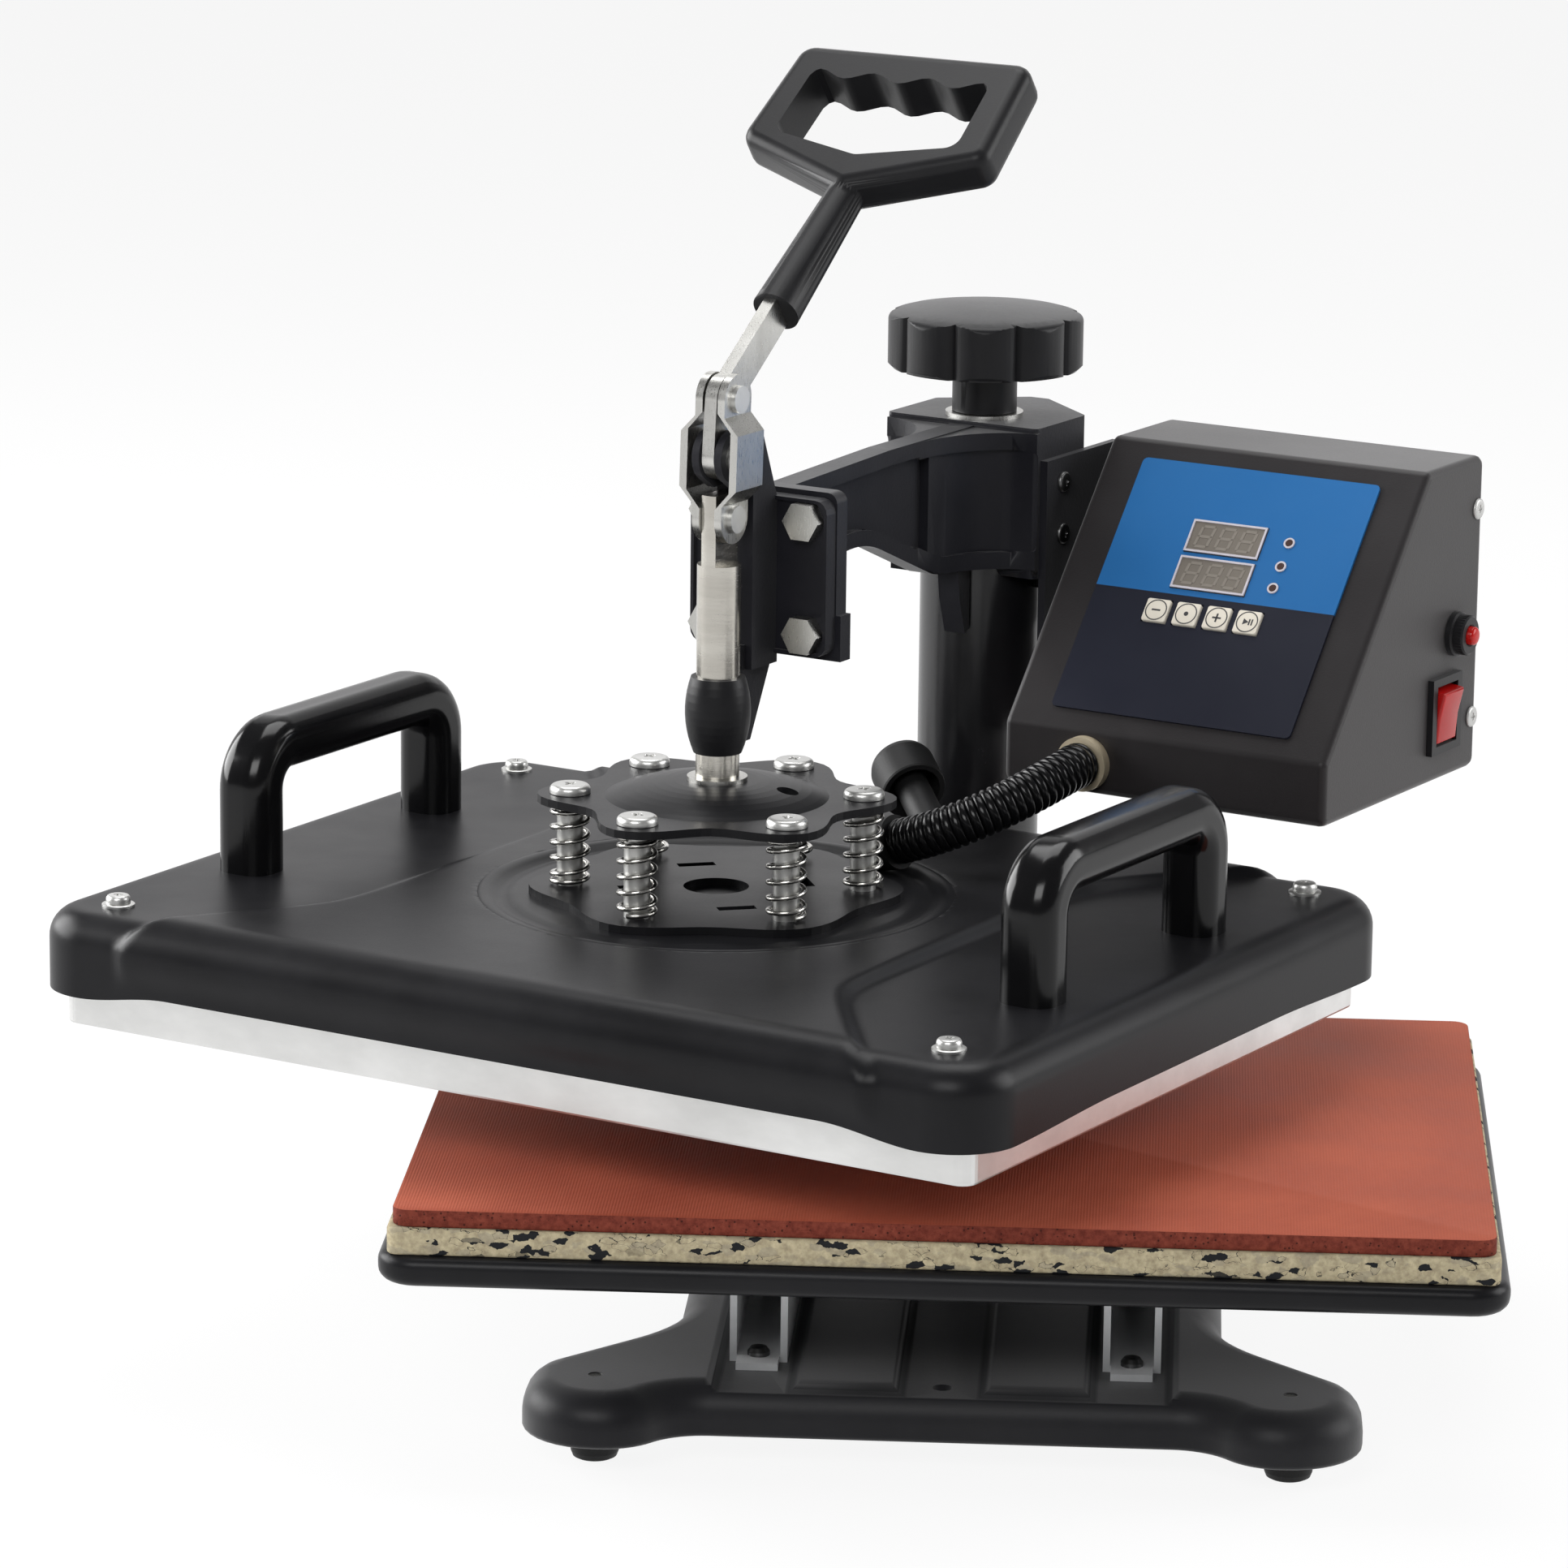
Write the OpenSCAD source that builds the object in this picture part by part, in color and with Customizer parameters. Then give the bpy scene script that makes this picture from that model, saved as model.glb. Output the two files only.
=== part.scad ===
// Swing-away heat press with a toggle lever, a sprung heat platen and a digital control box.
// Millimetres, +Z up. The press stands on Z = 0 and is drawn as it waits open:
// the arm is swung clear of the bed and the lever points up and back.

/* [Bed] */
// Width of the pad and of the heat platen
plate_w = 380; // [320:5:420]
// Depth of the pad and of the heat platen
plate_d = 285; // [240:5:310]
// Thickness of the silicone pad
pad_t = 6.3; // [4:0.1:9]
// Thickness of the flecked foam under the pad
foam_t = 9.7; // [6:0.1:14]
// Height of the tray that carries the foam
tray_h = 11; // [8:0.5:16]
// Reach of the tray past the pad, all round
tray_rim = 5.5; // [3:0.5:10]

/* [Base] */
// Width of the base across its feet
base_w = 294; // [270:2:340]
// Width of the base at its waist
waist_w = 196; // [180:1:210]
// Height of the base pan
base_h = 18.5; // [17:0.5:26]
// Wall of the base pan at its top
base_wall = 6; // [5.5:0.5:8]
// Height of the rubber feet under the pan
foot_h = 11.5; // [8:0.5:14]
// Diameter of a rubber foot
foot_dia = 17; // [14:0.5:22]
// Width of a bed rail
rail_w = 20.5; // [17:0.5:24]
// Height of a bed rail
rail_h = 43; // [35:1:50]
// Distance between the middles of the bed rails
rail_gap = 132; // [110:2:140]
// Wall of a bed rail
rail_wall = 2.5; // [1.5:0.25:3]

/* [Column] */
// Diameter of the column
column_dia = 47; // [42:0.5:52]
// Wall of the column
column_wall = 4; // [3:0.5:6]
// Diameter of the lifting screw inside the column
screw_dia = 14; // [10:0.5:16]
// Diameter of the knob
knob_dia = 75; // [60:1:90]
// Height of the knob without its stem
knob_h = 24; // [20:1:30]
// Diameter of the knob's stem
stem_dia = 24.8; // [22:0.2:30]

/* [Arm] */
// Distance from the column's axis to the plunger's axis
arm_reach = 190; // [182:1:205]
// Angle by which the arm waits beside the bed
rest_swing = 28.2; // [15:0.1:45]
// Width of the arm's head
head_w = 66; // [62:1:75]
// Height of the arm's head
head_h = 58; // [52:1:66]
// Thickness of the arm's web over its rims
web_t = 10; // [9:0.5:14]

/* [Toggle] */
// Gap between the pad and the open platen
open_gap = 28; // [20:0.5:34]
// Diameter of the plunger
plunger_dia = 16; // [14:0.5:18]
// Length of the plunger from its washer to the link pivot
plunger_len = 95.3; // [88:0.1:102]
// Distance between the lever's pivot and the link's pivot on the lever
crank_r = 21; // [20:0.25:24]
// Distance between the two pivots of a link
link_len = 43.5; // [41:0.25:47]
// Lean of the lever's short leg behind the plunger's axis
crank_lean = 5; // [0:0.5:10]
// Lean of the lever's long bar from the vertical
lever_lean = 53; // [45:0.5:60]
// Length of the lever from the link pivot to the top of the grip
lever_len = 173; // [160:1:200]
// Thickness of the lever's steel bar
lever_t = 5; // [4:0.25:6]
// Width of the hand grip
grip_w = 105; // [90:1:125]
// Thickness of the hand grip
grip_t = 17; // [14:0.5:20]

/* [Platen] */
// Thickness of the heat platen
platen_t = 18; // [15:0.5:22]
// Height of the platen that shows under its cover
platen_show = 12; // [8:0.5:13]
// Reach of the cover past the platen, all round
cover_rim = 10; // [7:0.5:14]
// Height of the cover at its sides
cover_h = 31; // [28:0.5:40]
// Wall of the pressed cover
cover_wall = 2; // [1.5:0.25:3]
// Rise of the cover's middle over its sides
plateau_h = 3; // [2:0.25:5]
// Distance between the two legs of a handle
handle_span = 117; // [95:1:130]
// Height of a handle over the cover
handle_h = 57; // [48:1:70]
// Thickness of a handle
handle_dia = 22; // [18:0.5:24]
// Radius of the circle of spring bolts
bolt_circle_r = 53.4; // [51:0.2:58]
// Thickness of the two spring plates
spring_plate_t = 3; // [2:0.25:4]
// Length of a spring between the spring plates
spring_len = 31; // [26:0.5:36]
// Outer diameter of a spring
spring_dia = 15; // [14.5:0.1:16]
// Diameter of the spring wire
wire_dia = 1.9; // [1.5:0.1:2.1]
// Turns of a spring
spring_turns = 6; // [5:1:7]

/* [Control box] */
// Width of the control box
box_w = 134.5; // [120:0.5:150]
// Height of the control box
box_h = 120; // [110:1:135]
// Depth of the control box at its foot
box_d = 125; // [115:1:140]
// Depth of the control box at its top
box_top_d = 46; // [40:1:56]
// Height of the upright band under the sloped front
box_band_h = 24; // [20:1:32]
// Wall of the control box
box_wall = 2; // [1.5:0.25:3]
// Width of the front panel
panel_w = 100; // [95:1:110]
// Height of the front panel along the slope
panel_h = 108; // [100:1:112]
// Outer diameter of the ribbed hose
hose_dia = 17; // [14:0.5:20]
// Distance between two ribs of the hose
rib_pitch = 3.1; // [2.8:0.1:4]

/* [Hidden] */
$fn = 48;

// Clearances: run is a shaft in its bore, fit is a fixed pin in its hole,
// slip is a loose hole and air keeps neighbours that move apart
run = 0.05;
fit = 0.02;
slip = 0.5;
air = 0.3;

// Colours
black_coat = "#1d1d20";
black_plastic = "#151517";
steel = "#b9bcc0";
alloy = "#d3d5d6";
rubber = "#101012";

// Heights over the floor, from the feet up to the press bed
base_top = foot_h + base_h;
seat_depth = 3;
rail_z = base_top - seat_depth;
tray_z = rail_z + rail_h;
foam_z = tray_z + tray_h;
pad_z = foam_z + foam_t;
pad_top = pad_z + pad_t;

// Heights of the platen and its springs, with the press open
platen_z = pad_top + open_gap;
cover_z = platen_z + platen_show;
cover_top = cover_z + cover_h;
plateau_z = cover_top + plateau_h;
dish_depth = 1;
lower_plate_z = plateau_z - dish_depth;
spring_z = lower_plate_z + spring_plate_t;
upper_plate_z = spring_z + spring_len;
upper_plate_top = upper_plate_z + spring_plate_t;
dome_rise = 6;
washer_t = 1.5;
rod_z = upper_plate_top + dome_rise + washer_t;

// Pivots of the toggle: B on the plunger, P on the arm and A between lever and link.
// Each is [forward of the plunger's axis, height].
link_z = rod_z + plunger_len;
crank_fwd = -crank_r * sin(crank_lean);
crank_up = crank_r * cos(crank_lean);
pivot_z = link_z + sqrt(link_len * link_len - crank_fwd * crank_fwd) - crank_up;
pivot_a = [crank_fwd, pivot_z + crank_up];
pivot_b = [0, link_z];
pivot_p = [0, pivot_z];

// Heights of the arm, hung from the lever's pivot
flange_z = pivot_z - 47;
head_z = flange_z - 24;
head_top = head_z + head_h;
head_roof = 9;
stem_h = 16.5;
head_washer_t = 1.5;
stem_z = head_top + head_washer_t + air;
knob_z = stem_z + stem_h;
collar_t = 6;
collar_z = head_top - head_roof - air - collar_t;
shoulder_t = 3;
column_top = collar_z - shoulder_t - 1;
nut_h = 26;

// Plan of the base
base_front = -plate_d / 2 + 0.5;
base_rear = arm_reach + 60;
lobe_d = 46.5;
neck_d = 51;
lobe_w = 40;
step_w = 15;
front_step = 18;
rear_step = 1.5;
foot_x = base_w / 2 - 25.5;
foot_ys = [base_front + 28.5, base_rear - 28.5];
rail_len = plate_d - 95;
rail_front = -rail_len / 2;
rail_tongue = 10;
rail_screw_ys = [rail_front + 11, rail_front + rail_len - 11];
stud_ys = [rail_front + rail_len / 2 + 2, rail_front + rail_len - 23];
groove_len = rail_front + rail_len + 10 - base_front;
flange_dia = column_dia + 49;
flange_t = 8;
column_bolt_r = column_dia / 2 + 13;
column_bolt_in = base_h - 6.5;

// Plan of the arm's head, in the arm's frame: X to the right, Y to the back, column at the origin
head_front = -17;
head_side = 20;
head_back = 43;
flare_len = 40;
pocket_len = 17;
pocket_h = 8;
pad_plate_t = 7;
pad_plate_w = 59;
pad_plate_h = 62;
flange_w = 58;
flange_h = 58;
flange_plate_t = 5;
toggle_bolt_x = 20;
toggle_bolt_z = 21;
toggle_bolt_dia = 8;
pad_face_y = -(arm_reach - 33);
flange_face_y = pad_face_y - flange_plate_t;

// Toggle linkage across the plunger: the lever between two ears, the links outside
tongue_t = 6;
link_t = 3;
link_half_w = 9;
link_in = tongue_t / 2 + 0.2;
link_wide = 9;
ear_in = lever_t / 2 + 0.7;
ear_out = ear_in + 3;
pivot_pin_dia = 8;
rivet_dia = 6;
lever_half_w = 8.5;
bar_half_w = 6.5;
guide_dia = 24;
guide_h = 28;
guide_z = flange_z - 62;

// Lever, along its bar from the link pivot
bar_len = 66;
neck_start = 44;
neck_dia = 18;
grip_bar = 13.5;
grip_side = 51;
grip_vee = 20;

// Platen cover and what stands on it, in the platen's frame: plunger axis at the origin
cover_w = plate_w + 2 * cover_rim;
cover_d = plate_d + 2 * cover_rim;
cover_corner_r = 24;
cover_edge_r = 9;
plateau_w = 222;
plateau_flare = 39;
plateau_flare_d = 52;
plateau_slope = 3;
dish_r = 82;
dish_slope = 8;
cover_screw_x = plate_w / 2 - 16;
cover_screw_y = plate_d / 2 - 13;
handle_x = plate_w / 2 - 24;
handle_round = 8;
handle_bend = 16;
handle_bolt_dia = 8;
post_dia = 16;
spring_bolt_dia = 9.6;
bolt_head_dia = 15;
bolt_head_h = 3.5;
spring_bolt_angles = [for (i = [0:5]) 30 + 60 * i];
lobe_out = 12;
lobe_in = 2.5;
lower_lobe_out = 15;
lower_lobe_in = 6.5;
dome_r = 42;
dome_flat_r = 12;
centre_hole_r = 12;
element_dia = 8;
blanket_t = 14;

// Control box, in the arm's frame
box_x = head_w / 2 + 17;
box_z = head_z - 66.5;
box_back_y = 57;
box_front_y = box_back_y - box_d;
box_top_y = box_back_y - box_top_d;
box_top = box_z + box_h;
band_z = box_z + box_band_h;
slope_a = atan2(box_top - band_z, box_top_y - box_front_y);
slope_len = norm([box_top - band_z, box_top_y - box_front_y]);
panel_x = box_x + (box_w - panel_w) / 2;
panel_top = (slope_len - panel_h) / 2;
panel_t = 1;
key_w = 10;
key_h = 9.5;
key_row = 63.6;
key_xs = [28.8, 41.5, 54.3, 67.1];
display_w = 31;
display_h = 13.6;
display_x = 46;
display_rows = [30.5, 46.2];
led_x = 72;
led_rows = [28.7, 38.8, 48.1];
led_dia = 3;
board_z = -9;
board_t = 1.6;
rocker_y = 27;
rocker_z = box_z + 26;
bezel_w = 24;
bezel_h = 29;
bezel_t = 2.5;
rocker_r = 11.2;
rocker_tilt = 9;
breaker_y = 35.5;
breaker_z = box_z + 55;
button_dia = 7;

// Ribbed hose from the box's front band to the gland on the cover, in the arm's frame.
// Straight ends and a cubic curve between them.
hose_bore = 11;
rib_depth = 1.2;
gland_h = 10;
grommet_t = 4;
hose_start = [box_x + 35, box_front_y - grommet_t, box_z + 12];
hose_end = [36, -arm_reach + 69, plateau_z + hose_dia / 2 + 1];
hose_dir = [0.9, -0.1, 0.3] / norm([0.9, -0.1, 0.3]);
hose_p0 = hose_start + [0, -4, 0];
hose_p1 = hose_p0 + [0, -14, -1];
hose_p2 = hose_end + 40 * hose_dir;
hose_p3 = hose_end + 3 * hose_dir;
gland_pos = hose_end - gland_h * hose_dir;

// Rubber boot of the heater lead, in the platen's frame
boot_pos = [20, plate_d / 2 - 22.5, plateau_z + 4];
boot_dir = [-0.7, 0.6, 0.38] / norm([-0.7, 0.6, 0.38]);
boot_r = 12.5;
boot_tube_dia = 13;

// The drawing's origin is the middle of the press's outline on the floor
swing_pos = [-arm_reach * sin(rest_swing), arm_reach * (1 - cos(rest_swing))];
corner_w = cover_w / 2 - cover_corner_r;
corner_d = cover_d / 2 - cover_corner_r;
reach_x = corner_w * cos(rest_swing) + corner_d * sin(rest_swing) + cover_corner_r;
reach_y = corner_w * sin(rest_swing) + corner_d * cos(rest_swing) + cover_corner_r;
frame_x = (swing_pos.x - reach_x + plate_w / 2 + tray_rim) / 2;
frame_y = (swing_pos.y - reach_y + max(base_rear, swing_pos.y + reach_y)) / 2;

// Points of a rounded corner at p, between its neighbours a and b, drawn in by inset
function corner_arc(a, p, b, r, inset, n) =
  let (
    u = (a - p) / norm(a - p),
    v = (b - p) / norm(b - p),
    half = acos(u * v) / 2,
    side = sign(cross(p - a, b - p)),
    c = p + (u + v) / norm(u + v) * r / sin(half),
    from = p + u * r / tan(half) - c,
    start = atan2(from.y, from.x),
    sweep = side * (180 - 2 * half)
  )
  [for (i = [0:n]) c + (r - side * inset) * [cos(start + sweep * i / n), sin(start + sweep * i / n)]];

// A polygon with rounded corners; r is one radius or a list with one for each corner
function rounded(poly, r, inset = 0, n = 6) =
  let (m = len(poly))
  [for (i = [0:m - 1])
    each corner_arc(poly[(i + m - 1) % m], poly[i], poly[(i + 1) % m],
      is_list(r) ? r[i] : r, inset, n)];

function rect_points(w, d) = [[-w / 2, -d / 2], [w / 2, -d / 2], [w / 2, d / 2], [-w / 2, d / 2]];
function at_height(points, z) = [for (p = points) [p.x, p.y, z]];
function bezier(a, b, c, d, t) =
  pow(1 - t, 3) * a + 3 * t * pow(1 - t, 2) * b + 3 * t * t * (1 - t) * c + pow(t, 3) * d;

// Faces of a flat cap over a ring that mirrors left to right; its points from first go up the right side
function mirror_cap(n, first) =
  [for (k = [0:n / 2 - 2])
    let (a = first + k, b = a + 1, c = (2 * first - 1 - b + n) % n, d = (2 * first - 1 - a + n) % n)
    each [[a % n, b % n, c], [a % n, c, d]]];

// Faces of a flat cap over the base's plan, ten corners a side of n + 1 points each: the middle between
// both sides, and lobes that close towards their middle corner
function lobed_cap(n) =
  let (
    k = n + 1,
    all = 20 * k,
    last = 2 * k + n / 2 - 1,
    flip = [for (i = [0:all - 1]) (2 * k - 1 - i + all) % all],
    lobes = [for (a = [k, 6 * k], j = [0:last])
      let (b = a + 5 * k - 1 - j, tip = [a + j, b - 1, b])
      each j < last ? [[a + j, a + j + 1, b - 1], tip] : [tip]],
    rows = [k, 6 * k - 1, 6 * k, 11 * k - 1],
    middle = [for (i = [0:2])
      let (a = rows[i], b = rows[i + 1])
      each [[a, b, flip[b]], [a, flip[b], flip[a]]]]
  )
  concat(lobes, middle, [for (f = lobes) [flip[f[2]], flip[f[1]], flip[f[0]]]]);

// A closed skin over rings of equally many points; a ring that mirrors left to right gives its first
// point on the right side, any other ring that isn't convex gives the faces of its flat ends
module skin(rings, first = 0, flat = []) {
  n = len(rings[0]);
  m = len(rings);
  sides = [for (j = [0:m - 2], i = [0:n - 1])
    let (k = (i + 1) % n)
    each [[j * n + i, (j + 1) * n + i, (j + 1) * n + k], [j * n + i, (j + 1) * n + k, j * n + k]]];
  foot = len(flat) > 0 ? flat : first > 0 ? mirror_cap(n, first) : [[for (i = [0:n - 1]) i]];
  cap = [for (face = foot) [for (i = [len(face) - 1:-1:0]) (m - 1) * n + face[i]]];
  polyhedron(points = [for (ring = rings) each ring], faces = concat(foot, sides, cap));
}

// A slab over a rounded polygon whose lower and upper edges are rounded too
module pillow(poly, r, z0, z1, low, high, inset = 0, n = 6, steps = 5, flat = []) {
  low_rings = low == 0
    ? [at_height(rounded(poly, r, inset, n), z0)]
    : [for (i = [0:steps])
      let (a = 90 * i / steps)
      at_height(rounded(poly, r, inset + low * (1 - sin(a)), n), z0 + low * (1 - cos(a)))];
  high_rings = high == 0
    ? [at_height(rounded(poly, r, inset, n), z1)]
    : [for (i = [0:steps])
      let (a = 90 * i / steps)
      at_height(rounded(poly, r, inset + high * (1 - cos(a)), n), z1 - high * (1 - sin(a)))];
  skin(concat(low_rings, high_rings), flat = flat);
}

// Rings of a round tube along a path
function tube_rings(path, radii, sides, aside) =
  [for (i = [0:len(path) - 1])
    let (
      next = path[min(i + 1, len(path) - 1)] - path[max(i - 1, 0)],
      t = next / norm(next),
      n1 = cross(t, aside) / norm(cross(t, aside)),
      n2 = cross(t, n1)
    )
    [for (k = [0:sides - 1])
      path[i] + radii[i] * (cos(360 * k / sides) * n1 + sin(360 * k / sides) * n2)]];

// Extrudes a drawing of [y, z] along X
module along_x(x, length) {
  translate([x, 0, 0])
    rotate([90, 0, 90])
      linear_extrude(length)
        children();
}

// Extrudes a drawing of [x, z] backwards along Y
module along_y(y, length) {
  translate([0, y + length, 0])
    rotate([90, 0, 0])
      linear_extrude(length)
        children();
}

// A bar with round ends between two points of a drawing; its sides lie a hair inside the ends' tangents
module stadium(a, b, r) {
  w = r - 0.03;
  for (p = [a, b])
    translate(p)
      circle(r);
  translate(a)
    rotate(atan2(b.y - a.y, b.x - a.x))
      translate([0, -w])
        square([norm(b - a), 2 * w]);
}

// Turns a piece that stands along Z to stand along a direction
module pointed(dir) {
  rotate([0, acos(dir.z), atan2(dir.y, dir.x)])
    children();
}

module ring(outer_dia, inner_dia, h) {
  difference() {
    cylinder(d = outer_dia, h = h);
    translate([0, 0, -1])
      cylinder(d = inner_dia, h = h + 2);
  }
}

// A pan-head screw that hangs down from z = 0, its head above
module pan_screw(head_dia, head_h, dia, length) {
  rotate_extrude()
    polygon([[0, -length], [dia / 2, -length], [dia / 2, 0], [head_dia / 2, 0],
      [head_dia / 2, head_h * 0.45], [head_dia * 0.36, head_h * 0.9], [head_dia * 0.2, head_h],
      [0, head_h]]);
}

module hex_bolt(across, head_h, dia, length) {
  cylinder(d = across / cos(30), h = head_h, $fn = 6);
  translate([0, 0, -length])
    cylinder(d = dia, h = length);
}

// Places: the bed's middle, the arm swung out, the platen under the plunger, the sloped panel
module on_base() {
  translate([-frame_x, -frame_y, 0])
    children();
}

module on_arm() {
  on_base()
    translate([0, arm_reach, 0])
      rotate(-rest_swing)
        children();
}

module on_platen() {
  on_arm()
    translate([0, -arm_reach, 0])
      children();
}

module on_panel(x, row, z) {
  on_arm()
    translate([panel_x, box_top_y, box_top])
      rotate([slope_a, 0, 0])
        translate([x, -panel_top - row, z])
          children();
}

// Draws a toggle piece from its side view: [forward, height] points in the plane of the arm
module toggle_plate(x, t) {
  on_platen()
    along_x(x, t)
      mirror([1, 0])
        children();
}

// Base and bed

base_side = [
  [base_w / 2 - lobe_w - step_w, base_front + front_step], [base_w / 2 - lobe_w, base_front],
  [base_w / 2, base_front], [base_w / 2, base_front + lobe_d],
  [waist_w / 2, base_front + lobe_d + neck_d], [waist_w / 2, base_rear - lobe_d - neck_d],
  [base_w / 2, base_rear - lobe_d], [base_w / 2, base_rear],
  [base_w / 2 - lobe_w, base_rear], [base_w / 2 - lobe_w - step_w, base_rear - rear_step]
];
side_radii = [24, 24, 27, 24, 60, 60, 24, 27, 24, 24];
base_poly = concat([[-base_side[0].x, base_side[0].y]], base_side,
  [for (i = [9:-1:1]) [-base_side[i].x, base_side[i].y]]);
base_radii = concat([side_radii[0]], side_radii, [for (i = [9:-1:1]) side_radii[i]]);

// A groove along the base's top with sides that swing up to the top
module base_groove(x, w) {
  rise = base_top - rail_z + 0.4;
  side = concat([for (t = [0:0.2:1]) [w / 2 + 7 * t, rail_z + rise * t * t * (3 - 2 * t)]],
    [[w / 2 + 7, base_top + 2]]);
  along_y(base_front - 1, groove_len + 1)
    translate([x, 0])
      polygon(concat(side, [for (i = [len(side) - 1:-1:0]) [-side[i].x, side[i].y]]));
}

module at_feet() {
  for (x = [-foot_x, foot_x], y = foot_ys)
    translate([x, y, 0])
      children();
}

module at_column_bolts() {
  translate([0, arm_reach, 0])
    for (a = [45:90:315])
      rotate(a)
        translate([column_bolt_r, 0, 0])
          children();
}

module base_frame() {
  color(black_coat)
    on_base()
      difference() {
        union() {
          difference() {
            pillow(base_poly, base_radii, foot_h, base_top, 2, 12, n = 9, steps = 6, flat = lobed_cap(9));
            pillow(base_poly, base_radii, foot_h - 1, base_top - base_wall, 0, 6, 5, steps = 3,
              flat = lobed_cap(6));
            for (x = [-rail_gap / 2, rail_gap / 2])
              base_groove(x, rail_w + 2);
            base_groove(0, 24);
          }
          at_feet()
            translate([0, 0, foot_h + 2])
              cylinder(d = foot_dia + 4, h = base_h - base_wall);
          at_column_bolts()
            translate([0, 0, foot_h + 4])
              cylinder(d = 18, h = base_h - base_wall);
        }
        at_feet()
          cylinder(d = 5 + 2 * fit, h = base_top + 1);
        at_column_bolts()
          translate([0, 0, base_top - column_bolt_in - 1])
            cylinder(d = 10 + 2 * fit, h = column_bolt_in + 2);
        for (x = [-rail_gap / 2, rail_gap / 2]) {
          for (y = rail_screw_ys)
            translate([x, y, foot_h])
              cylinder(d = 5 + 2 * fit, h = base_h);
          for (y = stud_ys)
            translate([x, y, foot_h])
              cylinder(d = 8 + slip, h = base_h);
        }
        translate([0, base_front + 34, foot_h])
          cylinder(d = 7, h = base_h);
      }
}

module rubber_feet() {
  color(rubber)
    on_base()
      at_feet()
        difference() {
          rotate_extrude()
            polygon([[0, 0], [foot_dia / 2 - 2, 0], [foot_dia / 2 - 0.7, 0.7], [foot_dia / 2, 2.5],
              [foot_dia / 2 + 1, foot_h + 2], [0, foot_h + 2]]);
          translate([0, 0, -1])
            cylinder(d = 10.5, h = foot_h - 2);
          cylinder(d = 5 + 2 * fit, h = foot_h + 3);
        }
}

module foot_screws() {
  color(steel)
    on_base()
      at_feet()
        translate([0, 0, foot_h - 3])
          mirror([0, 0, 1])
            pan_screw(9.5, 3, 5, base_h + 2.7);
}

module bed_rails() {
  color(alloy)
    on_base()
      for (x = [-rail_gap / 2, rail_gap / 2])
        difference() {
          along_y(rail_front, rail_len)
            translate([x, rail_z])
              difference() {
                translate([-rail_w / 2, 0])
                  square([rail_w, rail_h]);
                translate([-rail_w / 2 + rail_wall, rail_wall])
                  square([rail_w - 2 * rail_wall, rail_h]);
              }
          for (side = [-1, 1], y = [rail_front - 1, rail_front + rail_len - rail_tongue])
            translate([x + side * (rail_w - rail_wall) / 2, y + (rail_tongue + 1) / 2, rail_z + rail_h / 2])
              cube([rail_wall + 0.6, rail_tongue + 1, rail_h + 2], center = true);
          for (y = rail_screw_ys)
            translate([x, y, rail_z - 1])
              cylinder(d = 5 + 2 * fit, h = rail_wall + 2);
          for (y = stud_ys)
            translate([x, y, rail_z - 1])
              cylinder(d = 8 + slip, h = rail_wall + 2);
        }
}

module rail_screws() {
  color("#3a3a3d")
    on_base()
      for (x = [-rail_gap / 2, rail_gap / 2], y = rail_screw_ys)
        translate([x, y, rail_z + rail_wall])
          pan_screw(8, 3.2, 5, 12);
}

module bed_tray() {
  tray_wall = 4;
  pocket_in = rail_gap / 2 - rail_w;
  pocket_out = plate_w / 2 - 6;
  pocket_d = plate_d - 12;
  color(black_coat)
    on_base()
      difference() {
        pillow(rect_points(plate_w + 2 * tray_rim, plate_d + 2 * tray_rim), 14, tray_z, foam_z, 5, 4);
        for (x = [-rail_gap / 2, rail_gap / 2], y = stud_ys)
          translate([x, y, tray_z - 1])
            cylinder(d = 8 + 2 * fit, h = tray_h - 3);
        translate([-pocket_in, -pocket_d / 2, tray_z - 1])
          cube([2 * pocket_in, pocket_d, tray_h - tray_wall + 1]);
        for (x = [-pocket_out, rail_gap / 2 + rail_w])
          translate([x, -pocket_d / 2, tray_z - 1])
            cube([pocket_out - rail_gap / 2 - rail_w, pocket_d, tray_h - tray_wall + 1]);
      }
}

module tray_studs() {
  color(steel)
    on_base()
      for (x = [-rail_gap / 2, rail_gap / 2], y = stud_ys)
        translate([x, y, base_top - base_wall]) {
          cylinder(d = 8, h = tray_z - base_top + base_wall + tray_h - 5);
          translate([0, 0, -6])
            cylinder(d = 13 / cos(30), h = 6, $fn = 6);
        }
}

module foam_pad() {
  color("#b7ab8c")
    on_base()
      translate([0, 0, foam_z])
        linear_extrude(foam_t)
          polygon(rounded(rect_points(plate_w + 4, plate_d + 4), 4));
}

module silicone_pad() {
  color("#a4523a")
    on_base()
      pillow(rect_points(plate_w, plate_d), 6, pad_z, pad_top, 0, 0.8, steps = 2);
}

// Column, lifting screw and knob

module column() {
  color(black_coat)
    on_base()
      translate([0, arm_reach, base_top])
        difference() {
          union() {
            cylinder(d = column_dia, h = column_top - base_top, $fn = 96);
            cylinder(d = flange_dia, h = flange_t, $fn = 96);
            translate([0, 0, flange_t])
              cylinder(d1 = column_dia + 8, d2 = column_dia, h = 4, $fn = 96);
          }
          translate([0, 0, flange_t])
            cylinder(d = column_dia - 2 * column_wall, h = column_top, $fn = 96);
          translate([0, -arm_reach, -1])
            at_column_bolts()
              cylinder(d = 10 + 2 * fit, h = flange_t + 2);
        }
}

module column_bolts() {
  color(steel)
    on_base()
      at_column_bolts()
        translate([0, 0, base_top + flange_t])
          hex_bolt(16, 6.5, 10, flange_t + column_bolt_in);
}

module column_nut() {
  color(steel)
    on_base()
      translate([0, arm_reach, column_top - nut_h])
        ring(column_dia - 2 * column_wall - 2 * fit, screw_dia + 2 * run, nut_h);
}

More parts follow.
